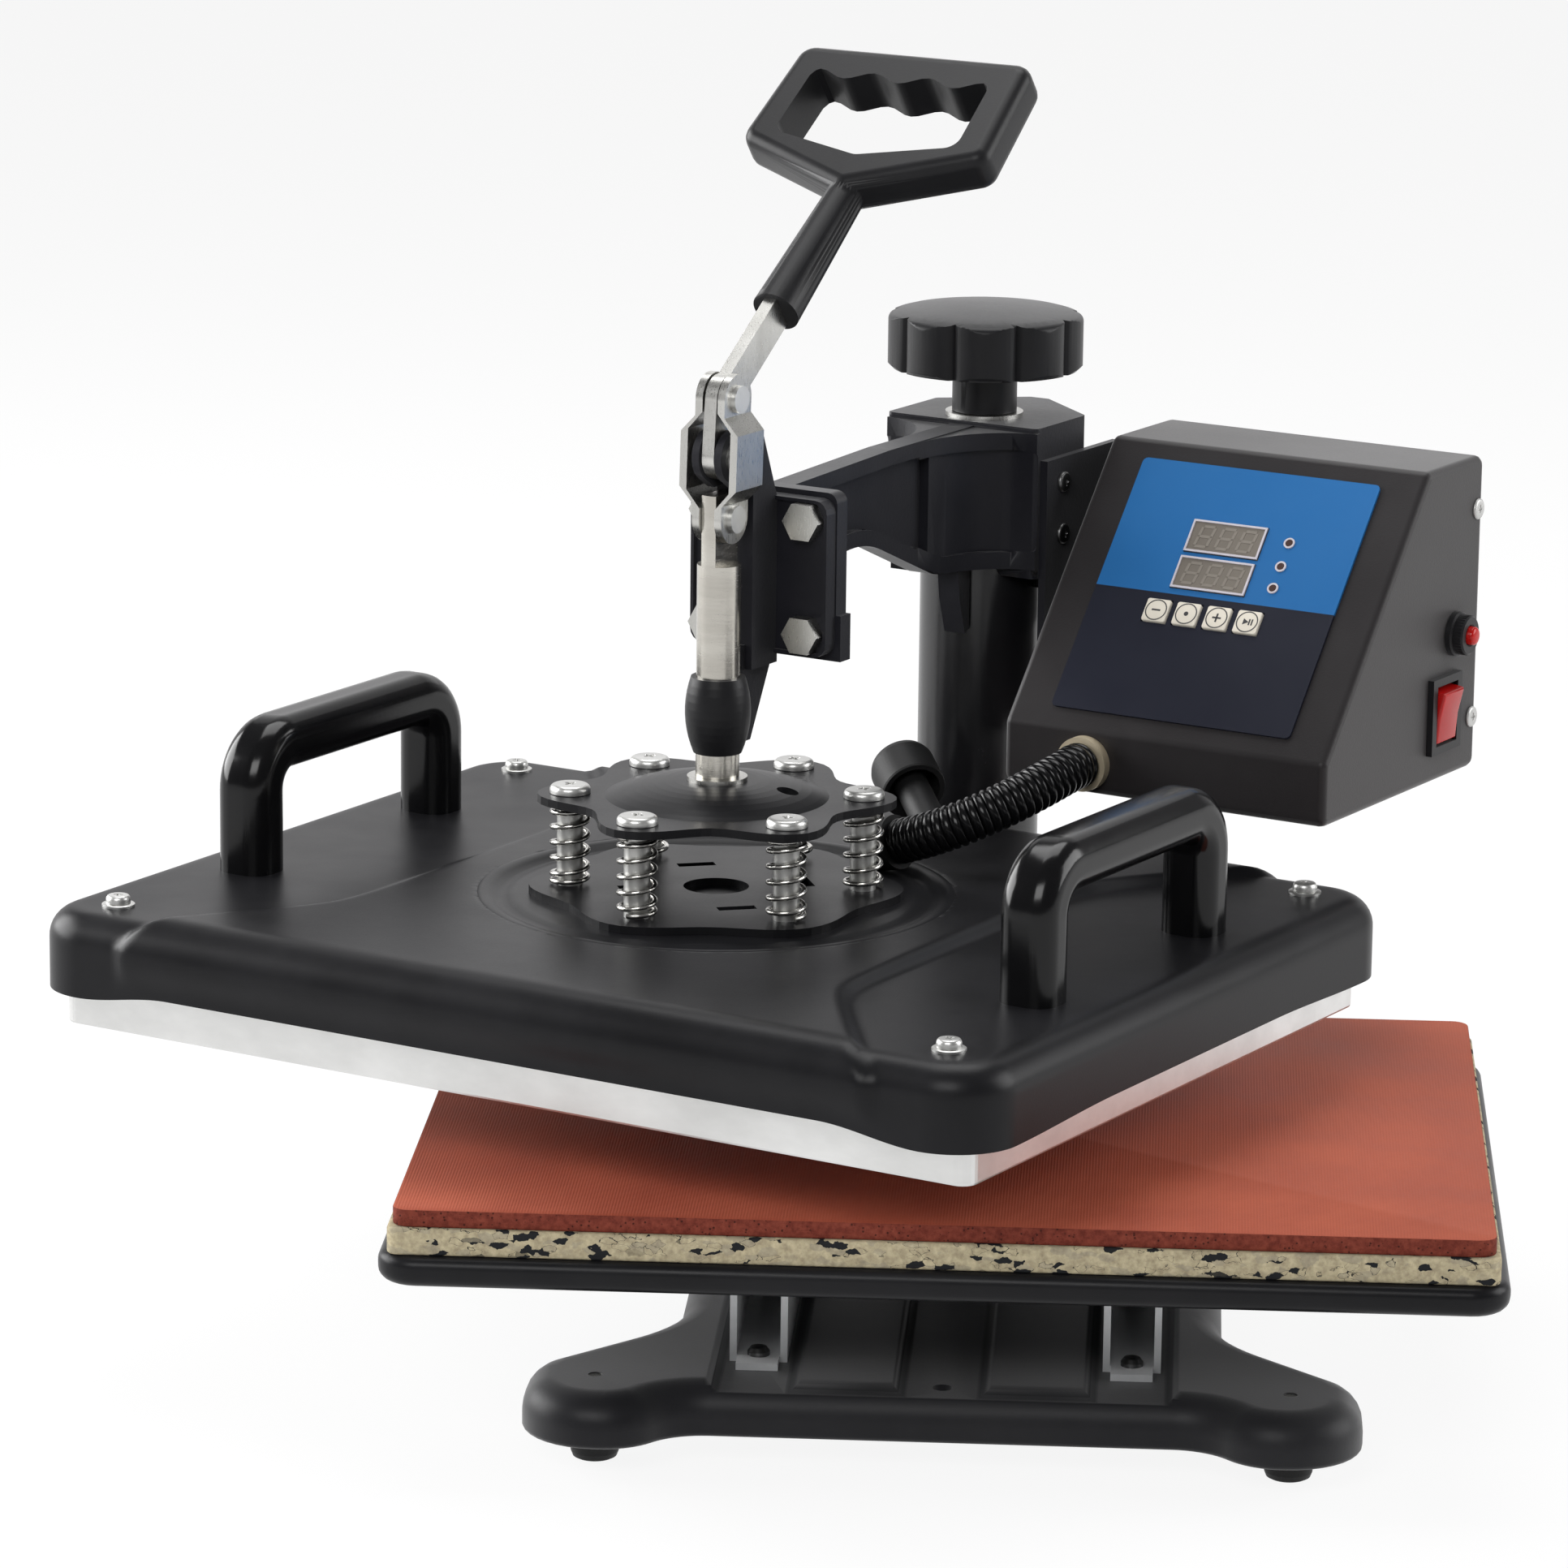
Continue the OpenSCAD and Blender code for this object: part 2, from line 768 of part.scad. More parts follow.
module thrust_collar() {
  color(steel)
    on_base()
      translate([0, arm_reach, collar_z])
        ring(screw_dia + 20, screw_dia + 2 * run, collar_t);
}

module lift_screw() {
  color(steel)
    on_base()
      translate([0, arm_reach, 0]) {
        translate([0, 0, column_top - nut_h - 30])
          cylinder(d = screw_dia, h = knob_z + 10 - column_top + nut_h + 30);
        translate([0, 0, collar_z - shoulder_t])
          cylinder(d = screw_dia + 9, h = shoulder_t);
      }
}

module knob() {
  lobes = 9;
  depth = 4;
  edge = 3;
  outline = [for (a = [0:2.5:357.5])
    (knob_dia / 2 - depth + depth * sqrt(abs(cos(lobes * a / 2)))) * [cos(a), sin(a)]];
  color(black_plastic)
    on_base()
      translate([0, arm_reach, 0])
        rotate(-8.4)
          difference() {
            union() {
              translate([0, 0, stem_z])
                cylinder(d = stem_dia, h = stem_h + 5);
              intersection() {
                translate([0, 0, knob_z])
                  linear_extrude(knob_h)
                    polygon(outline);
                translate([0, 0, knob_z])
                  rotate_extrude($fn = 96)
                    polygon(concat([[0, 0], [knob_dia / 2 - 2, 0], [knob_dia / 2, 2]],
                      [for (a = [0:15:75])
                        [knob_dia / 2 - edge + edge * cos(a), knob_h - 3 - edge + edge * sin(a)]],
                      [for (t = [0.85:-0.17:0]) [t * knob_dia / 2, knob_h - 3 * t * t]]));
              }
            }
            translate([0, 0, stem_z - 1])
              cylinder(d = screw_dia + 2 * fit, h = knob_z + 10 - stem_z + 1);
          }
}

// Half ring behind the column, with the lug that stops the arm's finger
module stop_collar() {
  z = head_z - 7;
  color(black_coat)
    on_arm()
      difference() {
        union() {
          translate([0, 0, z])
            intersection() {
              cylinder(d = column_dia + 14, h = 6);
              translate([-50, 0.8, -1])
                cube([100, 50, 8]);
            }
          translate([-41, 0.8, z])
            cube([14, 13, 6]);
        }
        translate([0, 0, z - 1])
          cylinder(d = column_dia + 2 * fit, h = 8, $fn = 96);
        translate([-35.5, 7.5, z - 1])
          cylinder(d = 5, h = 8);
      }
}

// Arm

head_poly = [
  [-head_w / 2, head_front], [head_w / 2, head_front], [head_w / 2, head_side], [4, head_back],
  [-4, head_back], [-head_w / 2, head_side]
];

// Side view of the arm's web, as [y, z]
web_poly = [
  [pad_face_y + pad_plate_t - 1, flange_z - 3], [-95, flange_z], [-44, head_z + 3],
  [head_front + 8, head_z + 3], [head_front + 8, head_top - 1.5], [-78, head_top - 1.5],
  [pad_face_y + pad_plate_t - 1, flange_z + pad_plate_h / 2 - 1]
];
web_radii = [1, 50, 24, 1, 1, 70, 1];
rim_radii = web_radii + [9, 0, 0, 9, 9, 0, 9];

// Plan of the flare that widens the web into the head; inner draws its wall behind the rims
function flare_points(inner) =
  let (
    a = head_w / 2 - web_t / 2 - inner,
    b = flare_len - inner,
    y = head_front + 10,
    half = [for (t = [0:10:90]) [web_t / 2 + a * (1 - sin(t)), head_front - b * (1 - cos(t))]]
  )
  concat([[-half[0].x, y], [half[0].x, y]], half,
    [for (i = [len(half) - 1:-1:0]) [-half[i].x, half[i].y]]);

module swing_arm() {
  rim = 7;
  color(black_coat)
    on_arm()
      difference() {
        union() {
          translate([0, 0, head_z])
            linear_extrude(head_h)
              polygon(rounded(head_poly, 2, n = 3));
          difference() {
            along_x(-web_t / 2, web_t)
              polygon(rounded(web_poly, web_radii, n = 8));
            for (side = [-1, 1])
              along_x(side * (web_t / 2 - 2) - 2, 4)
                polygon(rounded(web_poly, rim_radii, inset = 6));
            for (side = [-1, 1], z = [flange_z + 6, flange_z + 22])
              translate([side * (web_t / 2 - 2), pad_face_y + 56, z])
                cube([3, pocket_len, pocket_h], center = true);
          }
          intersection() {
            translate([0, 0, head_z])
              linear_extrude(head_h)
                polygon(flare_points(rim));
            along_x(-head_w, 2 * head_w)
              polygon(rounded(web_poly, web_radii, 0.5, 8));
          }
          intersection() {
            translate([0, 0, head_z])
              linear_extrude(head_h)
                polygon(flare_points(0));
            along_x(-head_w, 2 * head_w)
              difference() {
                polygon(rounded(web_poly, web_radii, 0.5, 8));
                polygon(rounded(web_poly, rim_radii, rim));
              }
          }
          along_y(pad_face_y, pad_plate_t)
            translate([0, flange_z])
              polygon(rounded(rect_points(pad_plate_w, pad_plate_h), 4, n = 4));
          translate([pad_plate_w / 2 - 4, pad_face_y, flange_z - pad_plate_h / 2])
            cube([6, pad_plate_t, 17]);
          along_x(0, 9)
            polygon([[-column_dia / 2 - 10.5, head_z + 6], [-column_dia / 2 - 1, head_z + 6],
              [-column_dia / 2 - 1, head_z - 20], [-column_dia / 2 - 4, head_z - 22],
              [-column_dia / 2 - 8.5, head_z - 8]]);
        }
        translate([0, 0, head_z - 30])
          cylinder(d = column_dia + 2 * run, h = head_h - head_roof + 30, $fn = 96);
        translate([0, 0, head_z])
          cylinder(d = screw_dia + 2 * slip, h = head_h + 1);
        translate([0, 0, head_z - 1])
          cylinder(d1 = column_dia + 5, d2 = column_dia, h = 3, $fn = 96);
        for (x = [-toggle_bolt_x, toggle_bolt_x], z = [-toggle_bolt_z, toggle_bolt_z])
          translate([x, pad_face_y - 1, flange_z + z])
            rotate([-90, 0, 0])
              cylinder(d = toggle_bolt_dia + 2 * fit, h = pad_plate_t + 2);
        at_bracket_screws()
          rotate([0, -90, 0])
            cylinder(d = 4 + 2 * fit, h = 12);
      }
}

module head_washer() {
  color(steel)
    on_arm()
      translate([0, 0, head_top])
        ring(stem_dia + 5, screw_dia + 2 * slip, head_washer_t);
}

// Toggle clamp: a flange on the arm, a web with two ears for the lever, and the plunger's guide

module toggle_body() {
  web_front = 11.5;
  web_half = 7;
  guide_top = guide_z + guide_h;
  web_top = pivot_z + 6;
  rim = 1.3;
  color(black_coat)
    difference() {
      union() {
        on_arm() {
          along_y(flange_face_y, flange_plate_t)
            translate([0, flange_z])
              polygon(rounded(rect_points(flange_w, flange_h), 5, n = 4));
          along_y(flange_face_y - 1.5, 2)
            translate([0, flange_z])
              difference() {
                polygon(rounded(rect_points(flange_w, flange_h), 5, n = 4));
                polygon(rounded(rect_points(flange_w - 2 * rim, flange_h - 2 * rim), 4, n = 4));
              }
        }
        toggle_plate(-web_half, 2 * web_half)
          polygon([[-29, guide_top + 1], [-web_front, guide_top + 1], [-web_front, web_top],
            [-18, web_top], [-29, flange_z + flange_h / 2 - 3]]);
        toggle_plate(-4, 8)
          polygon([[-29, guide_top + 10], [-29, guide_top], [-16, guide_z + 2], [-10, guide_z + 2],
            [-10, guide_top + 10]]);
        toggle_plate(-ear_out, 2 * ear_out) {
          stadium(pivot_p, pivot_p + [-8, -5], 9.5);
          translate([-16, pivot_z - 15])
            square([6, 17]);
        }
      }
      on_platen() {
        translate([0, 0, guide_z - 1])
          cylinder(d = guide_dia + 2 * fit, h = guide_h + 2);
        translate([0, 0, guide_z + guide_h - 1])
          cylinder(d = plunger_dia + 4, h = link_z + link_half_w + 2.5 - guide_z - guide_h);
        translate([-ear_in, -14, pivot_z - 13])
          cube([2 * ear_in, 26, 40]);
      }
      toggle_plate(-20, 40)
        translate(pivot_p)
          circle(d = pivot_pin_dia + 2 * fit);
      on_arm()
        for (x = [-toggle_bolt_x, toggle_bolt_x], z = [-toggle_bolt_z, toggle_bolt_z])
          translate([x, flange_face_y - 3, flange_z + z])
            rotate([-90, 0, 0])
              cylinder(d = toggle_bolt_dia + 2 * slip, h = flange_plate_t + 4);
    }
}

module plunger_guide() {
  color(black_plastic)
    on_platen()
      translate([0, 0, guide_z])
        difference() {
          rotate_extrude()
            polygon(concat([[0, 0]],
              [for (t = [0:0.1:1]) [guide_dia / 2 - 2.6 * pow(2 * t - 1.1, 2), guide_h * t]],
              [[0, guide_h]]));
          translate([0, 0, -1])
            cylinder(d = plunger_dia + 2 * run, h = guide_h + 2, $fn = 64);
        }
}

module toggle_bolts() {
  color(steel)
    on_arm()
      for (x = [-toggle_bolt_x, toggle_bolt_x], z = [-toggle_bolt_z, toggle_bolt_z])
        translate([x, flange_face_y, flange_z + z])
          rotate([90, 0, 0])
            hex_bolt(13, 5.5, toggle_bolt_dia, flange_plate_t + pad_plate_t);
}

module pivot_pin() {
  head_t = 1.6;
  color(steel)
    toggle_plate(-ear_out - head_t, 2 * (ear_out + head_t))
      translate(pivot_p)
        circle(d = pivot_pin_dia);
  color(steel)
    for (x = [-ear_out - head_t, ear_out])
      toggle_plate(x, head_t)
        translate(pivot_p)
          circle(d = pivot_pin_dia + 4);
}

// Lever

function along_bar(s) = pivot_a + s * [-sin(lever_lean), cos(lever_lean)];

module lever_bar() {
  color(steel)
    difference() {
      toggle_plate(-lever_t / 2, lever_t) {
        stadium(pivot_p, pivot_a, lever_half_w);
        stadium(pivot_a, along_bar(bar_len - bar_half_w), bar_half_w);
      }
      toggle_plate(-lever_t, 2 * lever_t) {
        translate(pivot_p)
          circle(d = pivot_pin_dia + 2 * run);
        translate(pivot_a)
          circle(d = rivet_dia + 2 * run);
      }
    }
}

// Draws along the lever's long bar: X across, Y up the bar from the link pivot, Z out of the bar
module on_bar() {
  on_platen()
    translate([0, -pivot_a.x, pivot_a.y])
      rotate([90 - lever_lean, 0, 0])
        children();
}

grip_outer = [
  [0, lever_len - grip_side - grip_vee], [grip_w / 2, lever_len - grip_side], [grip_w / 2 - 3, lever_len],
  [-grip_w / 2 + 3, lever_len], [-grip_w / 2, lever_len - grip_side]
];
grip_in_w = grip_w / 2 - grip_bar;
grip_in_foot = [0, lever_len - grip_side - grip_vee + grip_bar + 2];
grip_in_side = lever_len - grip_side + 4;
grip_in_top = lever_len - grip_bar;
grip_bumps = 3;
bump_h = 4;

// The hole for the fingers: a vee below and a wavy upper edge
function grip_hole() =
  let (right = [grip_in_w, grip_in_side], left = [-grip_in_w, grip_in_side], w = grip_in_w - 4)
  concat(
    corner_arc(left, grip_in_foot, right, 8, 0, 6),
    corner_arc(grip_in_foot, right, [grip_in_w - 1, grip_in_top], 6, 0, 6),
    [[grip_in_w - 1, grip_in_top - 4], [grip_in_w - 2.2, grip_in_top - 1.2]],
    [for (i = [0:24]) let (t = i / 24)
      [w - 2 * w * t, grip_in_top - bump_h * (1 - cos(360 * grip_bumps * t)) / 2]],
    [[-grip_in_w + 2.2, grip_in_top - 1.2], [-grip_in_w + 1, grip_in_top - 4]],
    corner_arc([-grip_in_w + 1, grip_in_top], left, grip_in_foot, 6, 0, 6));

module lever_grip() {
  neck_len = lever_len - grip_side - 10 - neck_start;
  color(black_plastic)
    on_bar()
      difference() {
        union() {
          difference() {
            pillow(grip_outer, 7, -grip_t / 2, grip_t / 2, 5, 5, steps = 4);
            translate([0, 0, -grip_t])
              linear_extrude(2 * grip_t)
                polygon(grip_hole());
          }
          translate([0, neck_start, 0])
            rotate([-90, 0, 0])
              cylinder(d1 = neck_dia, d2 = neck_dia - 4, h = neck_len);
        }
        translate([-lever_t / 2 - fit, neck_start - 1, -bar_half_w - fit])
          cube([lever_t + 2 * fit, bar_len - neck_start + 2, 2 * (bar_half_w + fit)]);
      }
}

// Links: two bent plates that close on the lever and on the plunger and spread round the ears

module link_plate() {
  w = link_half_w;
  mid = (link_z + pivot_a.y) / 2;
  bend = 6;
  flat = 10;
  lean = atan2(pivot_a.x, link_len);
  on_platen()
    intersection() {
      along_y(-w * 2, w * 4)
        polygon([
          [link_in, link_z - w], [link_in + link_t, link_z - w], [link_in + link_t, mid - flat - bend],
          [link_wide + link_t, mid - flat], [link_wide + link_t, mid + flat],
          [link_in + link_t, mid + flat + bend], [link_in + link_t, pivot_a.y + w],
          [link_in, pivot_a.y + w], [link_in, mid + flat + bend + 1.5], [link_wide, mid + flat + 1],
          [link_wide, mid - flat - 1], [link_in, mid - flat - bend - 1.5]
        ]);
      along_x(0, 20)
        mirror([1, 0])
          stadium(pivot_b, pivot_a, w);
    }
}

// Mirrors across the plane of the arm
module both_sides() {
  children();
  on_platen()
    mirror([1, 0, 0])
      translate([0, arm_reach, 0])
        rotate(rest_swing)
          translate([frame_x, frame_y - arm_reach, 0])
            children();
}

module links() {
  color(steel)
    both_sides()
      difference() {
        link_plate();
        toggle_plate(0, 20) {
          translate(pivot_a)
            circle(d = rivet_dia + 2 * fit);
          translate(pivot_b)
            circle(d = rivet_dia + 2 * fit);
        }
      }
}

module link_rivets() {
  head_t = 1.8;
  outer = link_in + link_t;
  color(alloy) {
    toggle_plate(-outer - head_t, 2 * (outer + head_t))
      translate(pivot_a)
        circle(d = rivet_dia);
    both_sides() {
      toggle_plate(outer, head_t)
        translate(pivot_a)
          circle(d = rivet_dia + 4);
      toggle_plate(link_in, link_t + head_t)
        translate(pivot_b)
          circle(d = rivet_dia);
      toggle_plate(outer, head_t)
        translate(pivot_b)
          circle(d = rivet_dia + 4);
    }
  }
}

// Plunger and the plate that it presses with

module plunger_rod() {
  spigot = washer_t + spring_plate_t + 7;
  tongue_len = 17;
  color(steel)
    on_platen()
      difference() {
        union() {
          translate([0, 0, rod_z])
            cylinder(d = plunger_dia, h = plunger_len + link_half_w, $fn = 64);
          translate([0, 0, rod_z - spigot])
            cylinder(d = 10, h = spigot + 1);
        }
        for (side = [-1, 1])
          translate([side * (tongue_t / 2 + 10), 0, link_z - tongue_len + 20])
            cube([20, 30, 40], center = true);
        translate([-10, 0, link_z])
          rotate([0, 90, 0])
            cylinder(d = rivet_dia + slip, h = 20);
      }
}

module plunger_washer() {
  color(steel)
    on_platen()
      translate([0, 0, rod_z - washer_t])
        ring(22, 10 + 2 * fit, washer_t);
}

module plunger_nut() {
  nut_t = 5;
  color(steel)
    on_platen()
      translate([0, 0, rod_z - washer_t - spring_plate_t - nut_t])
        difference() {
          cylinder(d = 17 / cos(30), h = nut_t, $fn = 6);
          translate([0, 0, -1])
            cylinder(d = 10 + 2 * fit, h = nut_t + 2);
        }
}

// Outline of both spring plates: six lobes with hollows between them
function lobe_points(inner, outer) =
  [for (a = [0:4:356])
    let (w = (1 - cos(6 * a)) / 2)
    (bolt_circle_r + inner + (outer - inner) * w) * [cos(a), sin(a)]];

module at_spring_bolts() {
  for (a = spring_bolt_angles)
    rotate(a)
      translate([bolt_circle_r, 0, 0])
        children();
}

// Half profile of the pressed dome, from its foot to its crown
function dome_points(z) = concat([[0, z - 0.5]], [for (t = [1:-0.125:0])
  [dome_flat_r + (dome_r - dome_flat_r) * t, z - 0.5 + (dome_rise + 0.5) * (1 - t * t)]],
  [[0, z + dome_rise]]);

module spring_plate_upper() {
  t = spring_plate_t;
  color(black_coat)
    on_platen()
      difference() {
        union() {
          translate([0, 0, upper_plate_z])
            linear_extrude(t)
              polygon(lobe_points(-lobe_in, lobe_out));
          rotate_extrude()
            polygon(dome_points(upper_plate_top));
        }
        rotate_extrude()
          polygon(dome_points(upper_plate_z));
        at_spring_bolts()
          translate([0, 0, upper_plate_z - 1])
            cylinder(d = spring_bolt_dia + 2 * slip, h = t + 2);
        translate([0, 0, upper_plate_z])
          cylinder(d = 10 + 2 * fit, h = 30);
        translate([27, 5, upper_plate_z])
          cylinder(d = 8, h = 30);
      }
}

// Platen under the springs

module spring_plate_lower() {
  color(black_coat)
    on_platen()
      translate([0, 0, lower_plate_z])
        linear_extrude(spring_plate_t)
          difference() {
            polygon(lobe_points(lower_lobe_in, lower_lobe_out));
            circle(centre_hole_r);
            for (a = spring_bolt_angles)
              rotate(a)
                translate([bolt_circle_r, 0])
                  circle(d = spring_bolt_dia + 2 * fit);
            for (a = [45, 135, 225, 315])
              rotate(a)
                translate([33, 0])
                  square([5, 14], center = true);
          }
}

module spring_bolts() {
  depth = upper_plate_top - platen_z - platen_t + 8;
  color(steel)
    on_platen()
      at_spring_bolts()
        translate([0, 0, upper_plate_top])
          pan_screw(bolt_head_dia, bolt_head_h, spring_bolt_dia, depth);
}

// Middle line of a spring: close turns at its two ends and open ones between
spring_seat = 0.15;
end_pitch = wire_dia + 0.6;
open_pitch = (spring_len - wire_dia - 2 * spring_seat - 2 * end_pitch) / (spring_turns - 2);
function spring_rise(t) =
  t < 1 ? t * end_pitch
  : t < spring_turns - 1 ? end_pitch + (t - 1) * open_pitch
  : end_pitch + (spring_turns - 2) * open_pitch + (t - spring_turns + 1) * end_pitch;
spring_r = (spring_dia - wire_dia) / 2;
spring_path = [for (i = [0:8 * spring_turns])
  [spring_r * cos(45 * i), spring_r * sin(45 * i), spring_seat + wire_dia / 2 + spring_rise(i / 8)]];
spring_gap = min([for (i = [0:len(spring_path) - 1], j = [i + 5:1:len(spring_path) - 1])
  norm(spring_path[i] - spring_path[j])]) - wire_dia;
echo("least gap between the turns of a spring", spring_gap);  // springs

module springs() {
  color(alloy)
    on_platen()
      at_spring_bolts()
        translate([0, 0, spring_z])
          skin(tube_rings(spring_path, [for (p = spring_path) wire_dia / 2], 6, [0, 0, 1]));
}

// Shallow dish under the springs; its rim runs on a little above the raised middle
module dish(clear = 0) {
  rise = 0.5;
  translate([0, 0, plateau_z - dish_depth + clear])
    cylinder(r1 = dish_r - dish_slope - clear, r2 = dish_r - clear + dish_slope * rise / dish_depth,
      h = dish_depth + rise, $fn = 96);
}

// What stands on the cover ends on its face, the dish included
module cover_face() {
  difference() {
    translate([-90, 20, plateau_z - 20])
      cube([180, 140, 20 + fit]);
    dish(fit);
  }
}

// Raised middle of the cover: broad at its front and back edges and narrow between the handles
function plateau_points(grow) =
  let (
    x = plateau_w / 2 + grow,
    y = cover_d / 2 - cover_edge_r + grow / 2,
    flare = plateau_flare,
    run_in = plateau_flare_d
  )
  rounded([[-x - flare, -y], [x + flare, -y], [x, -y + run_in], [x, y - run_in], [x + flare, y],
    [-x - flare, y], [-x, y - run_in], [-x, -y + run_in]], [3, 3, 25, 25, 3, 3, 25, 25], n = 4);

module platen_cover() {
  outline = rect_points(cover_w, cover_d);
  color(black_coat)
    on_platen()
      difference() {
        union() {
          pillow(outline, cover_corner_r, cover_z, cover_top, 2, cover_edge_r, n = 12, steps = 8);
          skin([at_height(plateau_points(plateau_slope), cover_top - 0.5),
            at_height(plateau_points(plateau_slope), cover_top),
            at_height(plateau_points(0), plateau_z)], 5);
        }
        pillow(outline, cover_corner_r, cover_z - 1, cover_top - cover_wall, 0,
          cover_edge_r - cover_wall, cover_wall, steps = 3);
        dish();
        at_spring_bolts()
          translate([0, 0, cover_top - 5])
            cylinder(d = spring_bolt_dia + 2 * slip, h = 20);
        at_cover_screws()
          translate([0, 0, cover_top - 5])
            cylinder(d = 5 + 2 * slip, h = 20);
        at_handle_legs()
          translate([0, 0, cover_top - 5])
            cylinder(d = handle_bolt_dia + 2 * slip, h = 20);
        translate([gland_pos.x, gland_pos.y + arm_reach, cover_top - 5])
          cylinder(d = hose_bore, h = 20);
        translate([boot_pos.x + 5, boot_pos.y - 5, cover_top - 5])
          cylinder(d = 9, h = 20);
      }
}

module at_cover_screws() {
  for (x = [-cover_screw_x, cover_screw_x], y = [-cover_screw_y, cover_screw_y])
    translate([x, y, 0])
      children();
}

module at_handle_legs() {
  for (x = [-handle_x, handle_x], y = [-handle_span / 2, handle_span / 2])
    translate([x, y, 0])
      children();
}

module heat_platen() {
  roof = cover_top - cover_wall;
  groove_z = platen_z + platen_t - element_dia / 2;
  color(alloy)
    on_platen()
      difference() {
        union() {
          pillow(rect_points(plate_w, plate_d), 6, platen_z, platen_z + platen_t, 1, 1, steps = 2);
          at_cover_screws()
            translate([0, 0, platen_z + platen_t - 1])
              cylinder(d = post_dia, h = roof - platen_z - platen_t + 1);
          at_spring_bolts()
            translate([0, 0, platen_z + platen_t - 1])
              cylinder(d = post_dia, h = roof - platen_z - platen_t + 1);
        }
        at_cover_screws()
          translate([0, 0, roof - 14])
            cylinder(d = 5 + 2 * fit, h = 20);
        at_spring_bolts()
          translate([0, 0, platen_z + platen_t - 9])
            cylinder(d = spring_bolt_dia + 2 * fit, h = 60);
        translate([0, 0, groove_z])
          element_loop(element_dia + 2 * fit, element_dia);
      }
}

// A tube bent into a loop with round ends, open at the back, with a cut above it if rise is not 0
module element_loop(dia, rise) {
  half_w = plate_w / 2 - 50;
  half_d = plate_d / 2 - 42;
  module section() {
    circle(d = dia);
    if (rise > 0)
      translate([-dia / 2, 0])
        square([dia, rise]);
  }
  for (x = [-half_w, half_w])
    translate([x, half_d, 0])
      rotate([90, 0, 0])
        linear_extrude(2 * half_d)
          section();
  translate([-half_w + 20, -half_d - 20, 0])
    rotate([90, 0, 90])
      linear_extrude(2 * half_w - 40)
        section();
  translate([half_w - 20, -half_d, 0])
    rotate(270)
      rotate_extrude(angle = 90)
        translate([20, 0])
          section();
  translate([-half_w + 20, -half_d, 0])
    rotate(180)
      rotate_extrude(angle = 90)
        translate([20, 0])
          section();
}

module heating_element() {
  color("#8a6f5a")
    on_platen()
      translate([0, 0, platen_z + platen_t - element_dia / 2])
        element_loop(element_dia, 0);
}

module insulation_blanket() {
  z = platen_z + platen_t + 2;
  color("#d8d2c4")
    on_platen()
      difference() {
        translate([0, 0, z])
          linear_extrude(blanket_t - cover_wall)
            polygon(rounded(rect_points(plate_w - 10, plate_d - 10), 8));
        at_spring_bolts()
          translate([0, 0, z - 1])
            cylinder(d = post_dia + 2 * slip, h = blanket_t + 2);
        at_cover_screws()
          translate([0, 0, z - 1])
            cylinder(d = post_dia + 2 * slip, h = blanket_t + 2);
        at_handle_legs()
          translate([0, 0, z - 1])
            cylinder(d = 2.2 * handle_bolt_dia, h = blanket_t + 2);
      }
}

module cover_screws() {
  washer_h = 1;
  color(steel)
    on_platen()
      at_cover_screws()
        translate([0, 0, cover_top + washer_h]) {
          pan_screw(9, 3.2, 5, 14);
          translate([0, 0, -washer_h])
            ring(12, 4.5, washer_h);
        }
}

// One carrying handle: two legs and a bar with round bends, all of one rounded section
module handle(x) {
  leg = handle_h - handle_dia / 2 - handle_bend;
  bar = handle_span - 2 * handle_bend;
  section = rounded(rect_points(handle_dia, handle_dia - 2), handle_round, n = 5);
  translate([x, 0, cover_top]) {
    for (side = [-1, 1]) {
      translate([0, side * handle_span / 2, 0])
        linear_extrude(leg)
          polygon(section);
      translate([0, side * (handle_span / 2 - handle_bend), leg])
        rotate([90, 0, side * 90])
          rotate_extrude(angle = 90)
            translate([handle_bend, 0])
              rotate(90)
                polygon(section);
    }
    translate([0, bar / 2, leg + handle_bend])
      rotate([90, 0, 0])
        linear_extrude(bar)
          polygon(section);
  }
}

module platen_handles() {
  color(black_plastic)
    on_platen()
      difference() {
        union()
          for (x = [-handle_x, handle_x])
            handle(x);
        at_handle_legs()
          translate([0, 0, cover_top - 1])
            cylinder(d = handle_bolt_dia + 2 * fit, h = 21);
      }
}

module handle_bolts() {
  head_h = 5;
  color(steel)
    on_platen()
      at_handle_legs()
        translate([0, 0, cover_top - cover_wall])
          mirror([0, 0, 1])
            hex_bolt(13, head_h, handle_bolt_dia, 18 + cover_wall);
}

// Boot of the heater lead, a short neck on the cover and a hooded mouth, and the gland of the hose
module lead_boot() {
  r = boot_r;
  color(rubber)
    on_platen()
      difference() {
        union() {
          translate([gland_pos.x, gland_pos.y + arm_reach, gland_pos.z])
            pointed(hose_dir)
              difference() {
                cylinder(d = hose_dia + 3.5, h = gland_h - 0.1);
                translate([0, 0, 4])
                  cylinder(d = hose_bore, h = gland_h);
              }
          translate(boot_pos + 21 * boot_dir)
            pointed(boot_dir)
              rotate_extrude()
                polygon([[r - 2.3, 0], [r - 0.3, 0], [r, 0.8], [r, 15], [r - 0.7, 17.2], [r - 2.5, 18.6],
                  [r - 5, 19], [0, 19], [0, 12], [r - 3.3, 12], [r - 2.3, 10.5]]);
          translate(boot_pos - 8 * boot_dir)
            pointed(boot_dir)
              cylinder(d = boot_tube_dia, h = 42);
        }
        cover_face();
      }
}

// Control box

box_poly = [
  [box_front_y, box_z], [box_back_y, box_z], [box_back_y, box_top], [box_top_y, box_top],
  [box_front_y, band_z]
];

